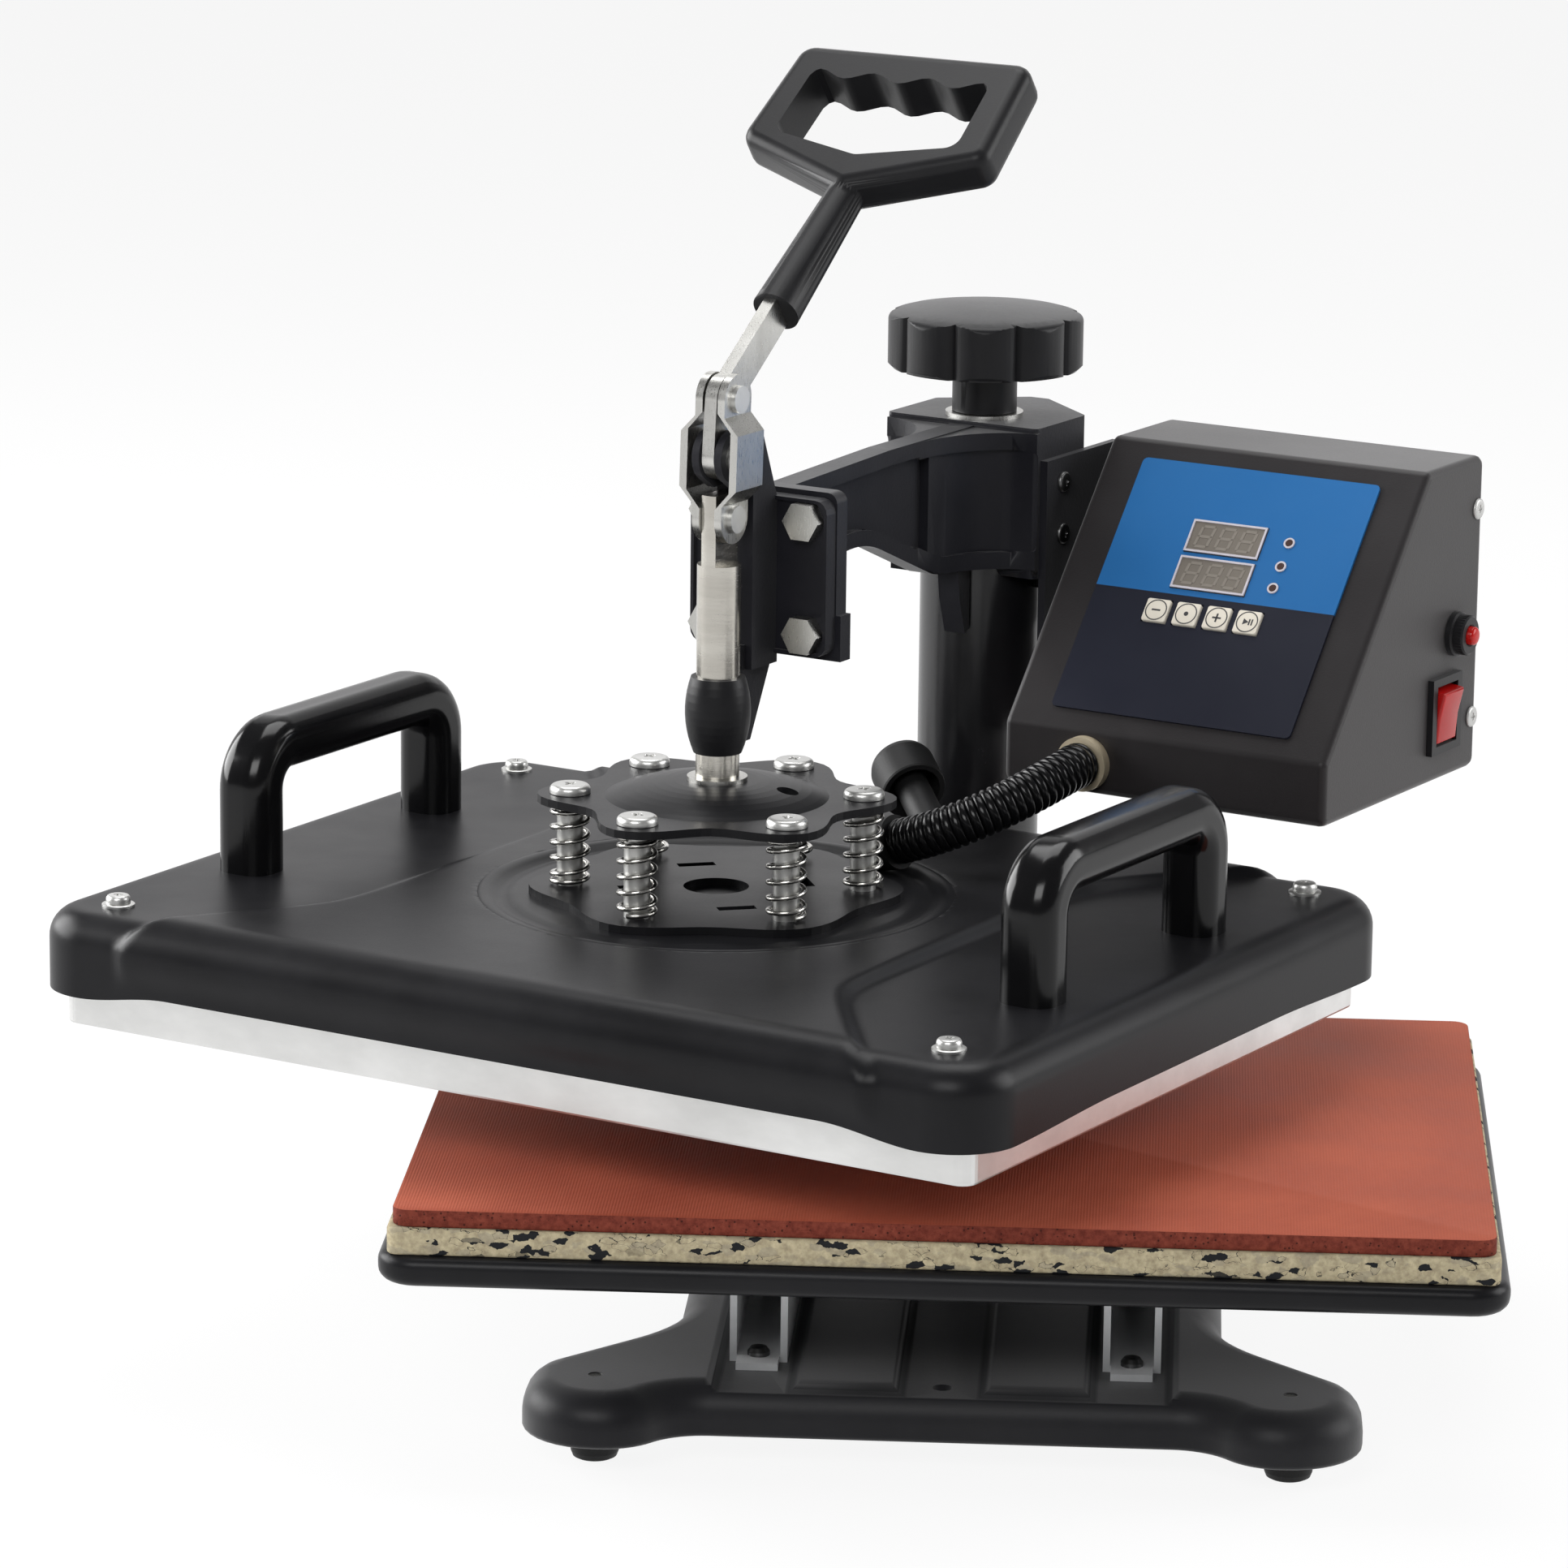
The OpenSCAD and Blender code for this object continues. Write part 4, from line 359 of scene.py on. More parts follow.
def foam_material():
    """Bonded foam: mottled cream crumb, with sparse dark flakes that lie flat and fine cracks."""
    made, tree, shader, place = start_material("flecked_foam", specular=0.1)
    warp = noise_node(tree, place, 420.0, 4.0)
    bent = add_node(tree, "ShaderNodeVectorMath", operation="MULTIPLY_ADD")
    for socket, value in zip(bent.inputs, (warp["Color"], (0.0034, 0.0034, 0.0022), place)):
        feed(tree, value, socket)
    flat = add_node(tree, "ShaderNodeMapping")
    flat.inputs["Rotation"].default_value = (0.25, 0.3, 0)
    flat.inputs["Scale"].default_value = (1, 1, 2.1)
    feed(tree, bent.outputs[0], flat.inputs["Vector"])
    flake_scale = 230.0
    flakes = cell_node(tree, flat.outputs[0], flake_scale)
    seams = cell_node(tree, flat.outputs[0], flake_scale, feature="DISTANCE_TO_EDGE")
    part = split_node(tree, "ShaderNodeSeparateColor", flakes["Color"])
    mottle = noise_node(tree, place, 340.0, 5.0, 0.65)["Fac"]
    grain = noise_node(tree, place, 1100.0, 3.0, 0.6)["Fac"]
    cream = mix_colour(tree, map_range(tree, mottle, 0.32, 0.68),
                       (0.24, 0.195, 0.12), (0.52, 0.45, 0.285))
    cream = mix_colour(tree, math_node(tree, "MULTIPLY", grain, 0.35), cream, (0.62, 0.56, 0.42))
    cream = mix_colour(tree, map_range(tree, part["Blue"], 0.75, 0.8, 0.0, 0.3), cream,
                       (0.20, 0.19, 0.17))
    flake = map_range(tree, part["Red"], 0.87, 0.89)
    crack = math_node(tree, "MULTIPLY", map_range(tree, seams["Distance"], 0.02, 0.05, 1.0, 0.0),
                      map_range(tree, part["Green"], 0.80, 0.84))
    dark = math_node(tree, "MAXIMUM", flake, crack)
    feed(tree, mix_colour(tree, dark, cream, (0.018, 0.019, 0.021)), shader["Base Color"])
    shader["Roughness"].default_value = 0.9
    add_bump(tree, shader, math_node(tree, "MULTIPLY_ADD", grain, 0.5, mottle), 0.5, 0.0006)
    return made


def panel_material():
    """Printed film: blue above, dark navy below, split straight across the panel."""
    made, tree, shader, place = start_material("printed_film", specular=0.4)
    split_down, soft = 55.7, 0.00008
    up_slope = (PANEL.to_3x3() @ Vector((0, 1, 0))).normalized()
    split_at = on_panel(0, split_down, 0).translation * MM
    dot = add_node(tree, "ShaderNodeVectorMath", operation="DOT_PRODUCT")
    feed(tree, place, dot.inputs[0])
    dot.inputs[1].default_value = up_slope
    above = math_node(tree, "SUBTRACT", dot.outputs["Value"], up_slope.dot(split_at))
    blue = map_range(tree, above, -soft, soft)
    skin = place_group(tree, ORANGE_PEEL, place, Peel=1600.0, Gloss=0.34, Spread=0.06)
    dark = mix_colour(tree, skin["Tone"], (0.008, 0.009, 0.018), (0.012, 0.014, 0.026))
    bright = mix_colour(tree, skin["Tone"], (0.011, 0.118, 0.335), (0.016, 0.138, 0.375))
    feed(tree, mix_colour(tree, blue, dark, bright), shader["Base Color"])
    feed(tree, skin["Roughness"], shader["Roughness"])
    add_bump(tree, shader, skin["Height"], 0.08, 0.0001)
    return made


# Coats: dark and light tone, gloss and its spread, peel, bump, specular level, sheen
COATS = {
    "powder_coat": ((0.007, 0.007, 0.008), (0.011, 0.011, 0.0125),
                    0.34, 0.10, 1500.0, 0.10, 0.16),
    "pan_coat": ((0.008, 0.008, 0.010), (0.014, 0.014, 0.016),
                 0.44, 0.10, 1200.0, 0.16, 0.17, 0.26),
    "column_coat": ((0.006, 0.006, 0.007), (0.010, 0.010, 0.0115),
                    0.24, 0.08, 1100.0, 0.08, 0.6),
    "cover_coat": ((0.006, 0.006, 0.007), (0.010, 0.010, 0.0115),
                   0.36, 0.10, 1500.0, 0.12, 0.17),
    "cast_coat": ((0.006, 0.006, 0.009), (0.011, 0.011, 0.015),
                  0.42, 0.12, 700.0, 0.28, 0.18, 0.12),
    "box_coat": ((0.012, 0.010, 0.011), (0.017, 0.015, 0.016),
                 0.44, 0.08, 1300.0, 0.22, 0.2, 0.2),
    "handle_gloss": ((0.003, 0.003, 0.0035), (0.005, 0.005, 0.0055),
                     0.17, 0.05, 500.0, 0.05, 0.28),
    "grip_satin": ((0.006, 0.006, 0.007), (0.011, 0.011, 0.0125),
                   0.38, 0.08, 900.0, 0.12, 0.18, 0.08),
    "hose_black": ((0.003, 0.003, 0.0035), (0.005, 0.005, 0.0055),
                   0.2, 0.03, 300.0, 0.01, 0.24),
    "soft_rubber": ((0.008, 0.008, 0.0085), (0.015, 0.015, 0.0155),
                    0.55, 0.12, 1100.0, 0.30, 0.3),
    "display_glass": ((0.16, 0.142, 0.122), (0.205, 0.184, 0.158), 0.22, 0.04, 600.0, 0.03),
    "display_frame": ((0.50, 0.475, 0.52), (0.58, 0.55, 0.60), 0.45, 0.06, 900.0, 0.05),
    "ghost_digit": ((0.215, 0.194, 0.168), (0.235, 0.212, 0.184), 0.3, 0.04, 600.0, 0.03),
    "key_grey": ((0.66, 0.62, 0.53), (0.75, 0.70, 0.60), 0.5, 0.06, 900.0, 0.10),
    "key_ink": ((0.03, 0.03, 0.032), (0.045, 0.045, 0.047), 0.5, 0.06, 900.0, 0.05),
    "lamp_lens": ((0.050, 0.030, 0.028), (0.085, 0.050, 0.045), 0.2, 0.05, 900.0, 0.03),
    "lamp_ring": ((0.50, 0.47, 0.51), (0.58, 0.55, 0.59), 0.4, 0.05, 900.0, 0.05),
    "rocker_red": ((0.30, 0.003, 0.003), (0.42, 0.006, 0.005), 0.20, 0.05, 700.0, 0.04, 0.3),
    "board_green": ((0.02, 0.10, 0.05), (0.03, 0.14, 0.07), 0.4, 0.1, 800.0, 0.1),
    "fibre": ((0.60, 0.58, 0.52), (0.72, 0.70, 0.65), 0.9, 0.05, 500.0, 0.6),
}

# Metals: dark and light tone, gloss and its spread, stretch, lines, bump, metallic, sheen
NO_GRAIN, ALONG_X, ALONG_Y = (1, 1, 1), (0.06, 1, 1), (1, 0.05, 1)
UPRIGHT, ACROSS = (1, 1, 0.12), (0.1, 0.1, 1)
METALS = {
    "zinc_plate": ((0.46, 0.455, 0.43), (0.64, 0.635, 0.61), 0.30, 0.22, UPRIGHT),
    "ground_rod": ((0.42, 0.40, 0.36), (0.60, 0.58, 0.53), 0.24, 0.18, ACROSS),
    "nickel_screw": ((0.50, 0.50, 0.485), (0.66, 0.66, 0.645),
                     0.36, 0.12, NO_GRAIN, 900.0, 0.05, 0.9),
    "flat_screw": ((0.44, 0.44, 0.43), (0.58, 0.58, 0.57),
                   0.46, 0.16, NO_GRAIN, 900.0, 0.08, 0.8),
    "spring_wire": ((0.52, 0.51, 0.48), (0.70, 0.69, 0.66), 0.22, 0.16, NO_GRAIN, 1400.0, 0.05),
    "dark_screw": ((0.10, 0.10, 0.10), (0.18, 0.18, 0.18), 0.38, 0.18, NO_GRAIN, 900.0, 0.10),
    "milled_alloy": ((0.66, 0.66, 0.65), (0.80, 0.80, 0.79), 0.38, 0.22, ALONG_X, 2600.0, 0.2),
    "rail_alloy": ((0.62, 0.63, 0.64), (0.80, 0.81, 0.82),
                   0.46, 0.24, ALONG_Y, 2400.0, 0.15, 0.3, 0.5),
    "tinted_tube": ((0.24, 0.16, 0.10), (0.36, 0.27, 0.20), 0.45, 0.2, NO_GRAIN, 700.0, 0.1),
    "brass_ring": ((0.60, 0.50, 0.34), (0.78, 0.68, 0.50),
                   0.38, 0.16, NO_GRAIN, 900.0, 0.08, 0.6),
}

FINISH = {name: coat_material(name, *values) for name, values in COATS.items()}
FINISH.update((name, metal_material(name, *values)) for name, values in METALS.items())
FINISH["red_silicone"] = silicone_material()
FINISH["cut_silicone"] = cut_silicone_material()
FINISH["flecked_foam"] = foam_material()
FINISH["printed_film"] = panel_material()

NODE_FINISH = {
    "pan_coat": ["base_frame"],
    "column_coat": ["column"],
    "cover_coat": ["platen_cover"],
    "powder_coat": ["bed_tray", "stop_collar", "spring_plate_upper", "spring_plate_lower"],
    "cast_coat": ["swing_arm", "toggle_body", "box_bracket"],
    "box_coat": ["control_box_shell", "control_box_back"],
    "handle_gloss": ["platen_handles"],
    "grip_satin": ["knob", "lever_grip", "plunger_guide", "rocker_bezel", "breaker_body",
                   "power_inlet"],
    "soft_rubber": ["rubber_feet", "lead_boot"],
    "hose_black": ["lead_hose"],
    "zinc_plate": ["foot_screws", "tray_studs", "column_bolts", "column_nut", "thrust_collar",
                   "head_washer", "toggle_bolts", "pivot_pin", "lever_bar", "links",
                   "plunger_washer", "plunger_nut", "handle_bolts"],
    "ground_rod": ["plunger_rod", "lift_screw"],
    "nickel_screw": ["spring_bolts", "cover_screws", "link_rivets"],
    "flat_screw": ["box_screws"],
    "spring_wire": ["springs"],
    "dark_screw": ["rail_screws"],
    "milled_alloy": ["heat_platen"],
    "rail_alloy": ["bed_rails"],
    "tinted_tube": ["heating_element"],
    "brass_ring": ["hose_grommet"],
    "red_silicone": ["silicone_pad"],
    "flecked_foam": ["foam_pad"],
    "printed_film": ["panel_overlay"],
    "display_glass": ["display_windows"],
    "key_grey": ["key_minus", "key_mode", "key_plus", "key_start"],
    "lamp_lens": ["indicator_leds"],
    "rocker_red": ["power_rocker", "reset_button"],
    "board_green": ["control_board"],
    "fibre": ["insulation_blanket"],
}
finish_of = {node: finish for finish, names in NODE_FINISH.items() for node in names}
for node, finish in finish_of.items():
    nodes[node].data.materials.clear()
    nodes[node].data.materials.append(FINISH[finish])


# Mesh helpers: shapes are drawn in millimetres and finished in metres, in the model's frame

MERGE = 0.0005


def finish_piece(name, bm, body, replaced=(), finish=None, sharp=35.0):
    """Makes an object of bm; without a finish of its own it takes that of the node it replaces."""
    bmesh.ops.remove_doubles(bm, verts=bm.verts, dist=MERGE)
    bmesh.ops.recalc_face_normals(bm, faces=bm.faces)
    bmesh.ops.scale(bm, vec=(MM, MM, MM), verts=bm.verts)
    for face in bm.faces:
        face.smooth = True
    mesh = bpy.data.meshes.new(name)
    bm.to_mesh(mesh)
    bm.free()
    mesh.set_sharp_from_angle(angle=math.radians(sharp))
    mesh.materials.append(FINISH[finish or finish_of[replaced[0]]])
    made = new_object(name, mesh)
    if body:
        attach(made, body)
    if replaced:
        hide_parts(*replaced)
    return made


def add_copies(bm, shape, places=(Matrix.Identity(4),)):
    """Adds a finished shape to bm at each of the places, and frees it."""
    for place in places:
        mesh = bpy.data.meshes.new("copy")
        shape.to_mesh(mesh)
        mesh.transform(place)
        bm.from_mesh(mesh)
        bpy.data.meshes.remove(mesh)
    shape.free()


def transform(bm, matrix):
    bmesh.ops.transform(bm, matrix=matrix, verts=bm.verts)
    return bm


def bevel(bm, edges, offset, segments):
    bmesh.ops.bevel(bm, geom=edges, offset=offset, segments=segments, profile=0.5,
                    affect="EDGES", material=-1)


def rise(edge):
    return abs(edge.verts[0].co.z - edge.verts[1].co.z)


def upright_edges(bm):
    return [e for e in bm.edges if rise(e) > 1]


def verts_of(made):
    """The vertices among what a bmesh operator gives back."""
    return [part for part in made["geom"] if isinstance(part, bmesh.types.BMVert)]


def thicken(bm, t):
    """Gives a flat shape a thickness, upward."""
    raised = bmesh.ops.extrude_face_region(bm, geom=bm.faces[:])
    bmesh.ops.translate(bm, vec=(0, 0, t), verts=verts_of(raised))
    return bm


def turned(profile, steps=32):
    """A solid of revolution about Z from points of [radius, height]: from axis to axis, or a
    closed loop, or an open line for a skin."""
    bm = bmesh.new()
    verts = [bm.verts.new((r, 0, z)) for r, z in profile]
    edges = [bm.edges.new(pair) for pair in zip(verts, verts[1:])]
    bmesh.ops.spin(bm, geom=verts + edges, cent=(0, 0, 0), axis=(0, 0, 1), angle=2 * math.pi,
                   steps=steps, use_merge=True)
    bmesh.ops.remove_doubles(bm, verts=bm.verts, dist=MERGE)
    bmesh.ops.recalc_face_normals(bm, faces=bm.faces)
    return bm


def box_shape(size, place=(0, 0, 0)):
    bm = bmesh.new()
    bmesh.ops.create_cube(bm, size=1.0,
                          matrix=Matrix.Translation(place) @ Matrix.Diagonal((*size, 1)))
    return bm


def evaluated(made):
    """The mesh of an object after its modifiers, or of a curve after its bevel, in a bmesh."""
    bpy.context.view_layer.update()
    graph = bpy.context.evaluated_depsgraph_get()
    mesh = bpy.data.meshes.new_from_object(made.evaluated_get(graph))
    bm = bmesh.new()
    bm.from_mesh(mesh)
    bpy.data.meshes.remove(mesh)
    return bm


def carved(base, cutter):
    """The base shape less the cutter, through a Boolean modifier."""
    objects = []
    for label, shape in (("carve_base", base), ("carve_cutter", cutter)):
        mesh = bpy.data.meshes.new(label)
        shape.to_mesh(mesh)
        shape.free()
        objects.append(new_object(label, mesh))
    modifier = objects[0].modifiers.new("carve", "BOOLEAN")
    modifier.operation = "DIFFERENCE"
    modifier.solver = "EXACT"
    modifier.use_self = True
    modifier.object = objects[1]
    bm = evaluated(objects[0])
    for made in objects:
        data = made.data
        bpy.data.objects.remove(made)
        bpy.data.meshes.remove(data)
    return bm


def swept(name, points, radii, sides):
    """A capped tube, from a poly curve with a radius at each point, in millimetres."""
    data = bpy.data.curves.new(name, "CURVE")
    data.dimensions = "3D"
    data.bevel_depth = 1.0
    data.bevel_resolution = sides
    data.use_fill_caps = True
    data.twist_mode = "MINIMUM"
    spline = data.splines.new("POLY")
    spline.points.add(len(points) - 1)
    for knot, place, radius in zip(spline.points, points, radii):
        knot.co = (*place, 1)
        knot.radius = radius
    carrier = new_object(name, data)
    bm = evaluated(carrier)
    bpy.data.objects.remove(carrier)
    bpy.data.curves.remove(data)
    return bm


def cross_screw(head_dia, head_h, dia, length, recess):
    """Pan-head screw with a cross recess; its seat is at height 0."""
    r, head_r = dia / 2, head_dia / 2
    profile = [(0, -length), (r - 0.4, -length), (r, -length + 0.4), (r, -0.01),
               (head_r - 0.25, -0.01), (head_r, 0.25), (head_r, head_h * 0.35)]
    for i in range(1, 7):
        a = math.radians(15 * i)
        profile.append((head_r * (0.74 + 0.26 * math.cos(a)),
                        head_h * (0.35 + 0.62 * math.sin(a))))
    profile.append((0, head_h))
    cutter = bmesh.new()
    for degrees in (0, 90):
        blade = box_shape((recess, recess * 0.24, head_h), (0, 0, head_h))
        bevel(blade, upright_edges(blade), recess * 0.08, 2)
        low = [v for v in blade.verts if v.co.z < head_h]
        bmesh.ops.scale(blade, vec=(0.55, 0.7, 1), verts=low)
        add_copies(cutter, blade, [turn(degrees, "Z")])
    return carved(turned(profile, 36), cutter)


# Pressed cover of the platen: one sheet bent down all round, its middle raised and run out over
# the front and back, its lower edge higher in the middle of each side than at the corners

COVER_W, COVER_D, COVER_CORNER, COVER_EDGE = 400.0, 305.0, 24.0, 11.0
COVER_STEPS_X, COVER_STEPS_Y = 226, 178
SKIRT_LOW, SKIRT_RISE, SIDE_SHARE = 138.3, 4.4, 0.4
FRONT_RISE, SIDE_RISE = (176, 136), (130, 60)
MIDDLE_RISE, MIDDLE_HALF_W, MIDDLE_SOFT, MIDDLE_LEAN = PLATEAU_Z - COVER_TOP, 105.5, 3.2, 0.9
FLARE_FROM, FLARE_SOFT, FLARE_SLOPE = 90, 12, 0.76
RUN_OUT, RUN_OUT_FADE = 4, 0.9
LIP_IN, LIP_UP = 4, 12
SUNK_R = 85.0
DISH = [(0, -1), (72, -1), (74, -1.1), (76, -1.7), (78, -2), (80, -1.9), (82, -0.8),
        (83.5, -0.15), (85.5, 0.03), (87, 0.01), (88, -0.4)]


def soft_step(start, end, value):
    t = min(max((value - start) / (end - start), 0.0), 1.0)
    return t * t * (3 - 2 * t)


def middle_share(x, y):
    """How far a point of the cover's plan lies on its raised middle, 0 to 1."""
    past = abs(y) - FLARE_FROM
    flare = 0.5 * (past + math.hypot(past, FLARE_SOFT)) * FLARE_SLOPE
    inside = (MIDDLE_HALF_W + flare - abs(x)) * MIDDLE_LEAN
    return soft_step(-MIDDLE_SOFT, MIDDLE_SOFT, inside)


def bend_cover(place):
    """Carries a point of the flat sheet to the bent cover, in the platen's frame."""
    x, y = abs(place.x), abs(place.y)
    inner_x, inner_y = COVER_W / 2 - COVER_CORNER, COVER_D / 2 - COVER_CORNER
    p, q = x - inner_x, y - inner_y
    flat = COVER_CORNER - COVER_EDGE
    arc = COVER_EDGE * math.pi / 2
    wall = COVER_TOP - COVER_EDGE - SKIRT_LOW
    run = max(p, q, 0.0)
    if p > 0 and q > 0:
        angle = math.pi / 4 * (q / p if p >= q else 2 - p / q)
    else:
        angle = 0.0 if p > 0 else math.pi / 2
    heading = Vector((math.cos(angle), math.sin(angle), 0))
    corner = Vector((min(x, inner_x), min(y, inner_y), COVER_TOP))
    tilt = min(max(run - flat, 0.0), arc) / COVER_EDGE
    reach = min(run, flat) + COVER_EDGE * math.sin(tilt)
    down = max(run - flat - arc, 0.0) / wall
    share = middle_share(min(x, COVER_W / 2), min(y, COVER_D / 2 + RUN_OUT))
    if q > p:
        foot = SKIRT_LOW + SKIRT_RISE * soft_step(*FRONT_RISE, x)
    else:
        foot = SKIRT_LOW + SKIRT_RISE * (SIDE_SHARE * soft_step(*SIDE_RISE, y))
    drop = COVER_EDGE * (1 - math.cos(tilt)) + down * (COVER_TOP - COVER_EDGE - foot)
    lift = MIDDLE_RISE * share * (1 - soft_step(0.0, RUN_OUT_FADE, down))
    out = heading * math.sin(tilt) + Vector((0, 0, math.cos(tilt)))
    bent = corner + heading * reach - Vector((0, 0, drop)) + out * lift
    if math.hypot(x, y) < SUNK_R:
        bent.z = COVER_TOP
    return Vector((math.copysign(bent.x, place.x), math.copysign(bent.y, place.y), bent.z))


def add_cover():
    spread = COVER_EDGE * (math.pi / 2 - 1) + COVER_TOP - COVER_EDGE - SKIRT_LOW
    half_x, half_y = COVER_W / 2 + spread, COVER_D / 2 + spread
    bm = bmesh.new()
    bmesh.ops.create_grid(bm, x_segments=COVER_STEPS_X, y_segments=COVER_STEPS_Y, size=1.0,
                          matrix=Matrix.Diagonal((half_x, half_y, 1, 1)))
    for v in bm.verts:
        v.co = bend_cover(v.co)
    lip = bmesh.ops.extrude_edge_only(bm, edges=[e for e in bm.edges if e.is_boundary])
    bmesh.ops.scale(bm, vec=((COVER_W - LIP_IN) / COVER_W, (COVER_D - LIP_IN) / COVER_D, 1),
                    verts=verts_of(lip))
    rim = [e for e in lip["geom"] if isinstance(e, bmesh.types.BMEdge) and e.is_boundary]
    fold = bmesh.ops.extrude_edge_only(bm, edges=rim)
    bmesh.ops.translate(bm, vec=(0, 0, LIP_UP), verts=verts_of(fold))
    add_copies(bm, turned([(r, PLATEAU_Z + z) for r, z in DISH], 128))
    finish_piece("pressed_cover", transform(bm, PLATEN), "platen",
                 ["platen_cover"], sharp=50.0)


add_cover()


# Ribbed hose between the ring on the control box and the boot on the cover: two lengths that meet
# in a groove

HOSE_DIA, RIB_PITCH, RIB_DEPTH = 17.0, 3.1, 1.2
RIB_SHAPE = (1.0, 0.4, 0.2, 0.083, 0.02, 0.0, 0.02, 0.083, 0.2, 0.4)
HOSE_SPLIT = 0.6


def cubic(a, b, c, d, t):
    return a * (1 - t) ** 3 + b * 3 * t * (1 - t) ** 2 + c * 3 * t * t * (1 - t) + d * t ** 3


def hose_route():
    """Middle line of the hose from the ring to the boot, as close points in the model's frame."""
    start = Vector((BOX_X + 35, BOX_FRONT - 4, BOX_Z + 12))
    end = Vector((36, -ARM_REACH + 69, PLATEAU_Z + HOSE_DIA / 2 + 1))
    away = Vector((0.9, -0.1, 0.3)).normalized()
    p0 = start + Vector((0, -4, 0))
    p1 = p0 + Vector((0, -14, -1))
    p2 = end + away * 40
    p3 = end + away * 3
    line = [start] + [cubic(p0, p1, p2, p3, i / 60) for i in range(61)] + [end]
    runs = [0.0]
    for a, b in zip(line, line[1:]):
        runs.append(runs[-1] + (b - a).length)
    steps = int(runs[-1] // RIB_PITCH) * len(RIB_SHAPE)
    route, k = [], 0
    for i in range(steps + 1):
        s = runs[-1] * i / steps
        while k < len(line) - 2 and runs[k + 1] < s:
            k += 1
        t = (s - runs[k]) / (runs[k + 1] - runs[k])
        route.append(ARM @ line[k].lerp(line[k + 1], t))
    return route


def add_hose_part(name, route, first, last, replaced=()):
    """One length of the hose, from the route's point first to its point last."""
    part = route[first:last + 1]
    radii = [HOSE_DIA / 2 - RIB_DEPTH * RIB_SHAPE[i % len(RIB_SHAPE)]
             for i in range(first, last + 1)]
    made = finish_piece(name, swept(name, part, radii, 14), None, replaced,
                        "hose_black", 60.0)
    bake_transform(made)


def add_hose():
    route = hose_route()
    cut = int(len(route) * HOSE_SPLIT / len(RIB_SHAPE)) * len(RIB_SHAPE)
    add_hose_part("ribbed_hose", route, 0, cut,
                  ["lead_hose"])
    add_hose_part("ribbed_hose_end", route, cut, len(route) - 1)


add_hose()


# Springs on the bolts

WIRE, SPRING_DIA, SPRING_TURNS, TURN_STEPS = 1.9, 15.0, 6, 28
SPRING_GAP, FLOAT_TRAVEL = 0.15, 6.2


def add_springs():
    pitch_end = WIRE + 0.6
    pitch = (SPRING_LEN - WIRE - 2 * SPRING_GAP - 2 * pitch_end) / (SPRING_TURNS - 2)
    radius = (SPRING_DIA - WIRE) / 2
    line = []
    for i in range(SPRING_TURNS * TURN_STEPS + 1):
        t = i / TURN_STEPS
        climb = (min(t, 1) * pitch_end + max(0, min(t, SPRING_TURNS - 1) - 1) * pitch
                 + max(0, t - SPRING_TURNS + 1) * pitch_end)
        a = 2 * math.pi * t
        line.append(Vector((radius * math.cos(a), radius * math.sin(a),
                            SPRING_GAP + WIRE / 2 + climb)))
    bm = bmesh.new()
    add_copies(bm, swept("spring_line", line, [WIRE / 2] * len(line), 5),
               [bolt_place(i, SPRING_Z) for i in range(BOLTS)])
    springs = finish_piece("spring_set", bm, "platen", ["springs"], sharp=60.0)
    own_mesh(springs)


add_springs()


# Screws with cross recesses, each turned its own way

CORNER_X, CORNER_Y = 174, 129.5
WASHER = [(2.4, 0), (6, 0), (6, 0.8), (5.7, 1), (2.4, 1), (2.4, 0)]
WASHER_T = 1
FLANGE_Z = BOX_Z + 90.5


def add_screws(name, screw, places, body, replaced=(), finish=None):
    bm = bmesh.new()
    add_copies(bm, screw, places)
    finish_piece(name, bm, body, replaced, finish)


def on_right_wall(x, y, heights):
    """Frames on a wall of the arm's pieces that faces right, at some heights."""
    return [ARM @ shift(x, y, z) @ turn(90, "Y") for z in heights]


def add_all_screws():
    depth = BOLT_SEAT_Z - PLATEN_LOW - 10
    add_screws("spring_bolt_set", cross_screw(15, BOLT_HEAD_H, 9.6, depth, 6.4),
               [bolt_place(i, BOLT_SEAT_Z) @ turn(17 + 41 * i, "Z") for i in range(BOLTS)],
               "platen", ["spring_bolts"])
    corner = cross_screw(9, 3.2, 5, 14, 4.6)
    add_copies(corner, turned(WASHER, 36), [shift(0, 0, -WASHER_T)])
    corners = [(-CORNER_X, -CORNER_Y), (CORNER_X, -CORNER_Y), (CORNER_X, CORNER_Y),
               (-CORNER_X, CORNER_Y)]
    add_screws("corner_screw_set", corner,
               [PLATEN @ shift(x, y, COVER_TOP + WASHER_T) @ turn(23 + 37 * i, "Z")
                for i, (x, y) in enumerate(corners)], "platen", ["cover_screws"])
    add_screws("box_screw_set", cross_screw(8, 1.3, 4, 5, 4.2),
               on_right_wall(BOX_RIGHT, BOX_BACK - 5, (BOX_Z + 20, BOX_TOP - 20)),
               "arm", ["box_screws"])
    add_screws("bracket_screw_set", cross_screw(8, 1.8, 4, 5, 4.2),
               on_right_wall(HEAD_W / 2 + 3, -2, (FLANGE_Z - 8, FLANGE_Z + 12))
               + on_right_wall(BOX_X + 2, BOX_BACK - 25, (BOX_Z + 76, BOX_Z + 104)),
               "arm", finish="dark_screw")


add_all_screws()


# Switch and breaker on the right wall of the box

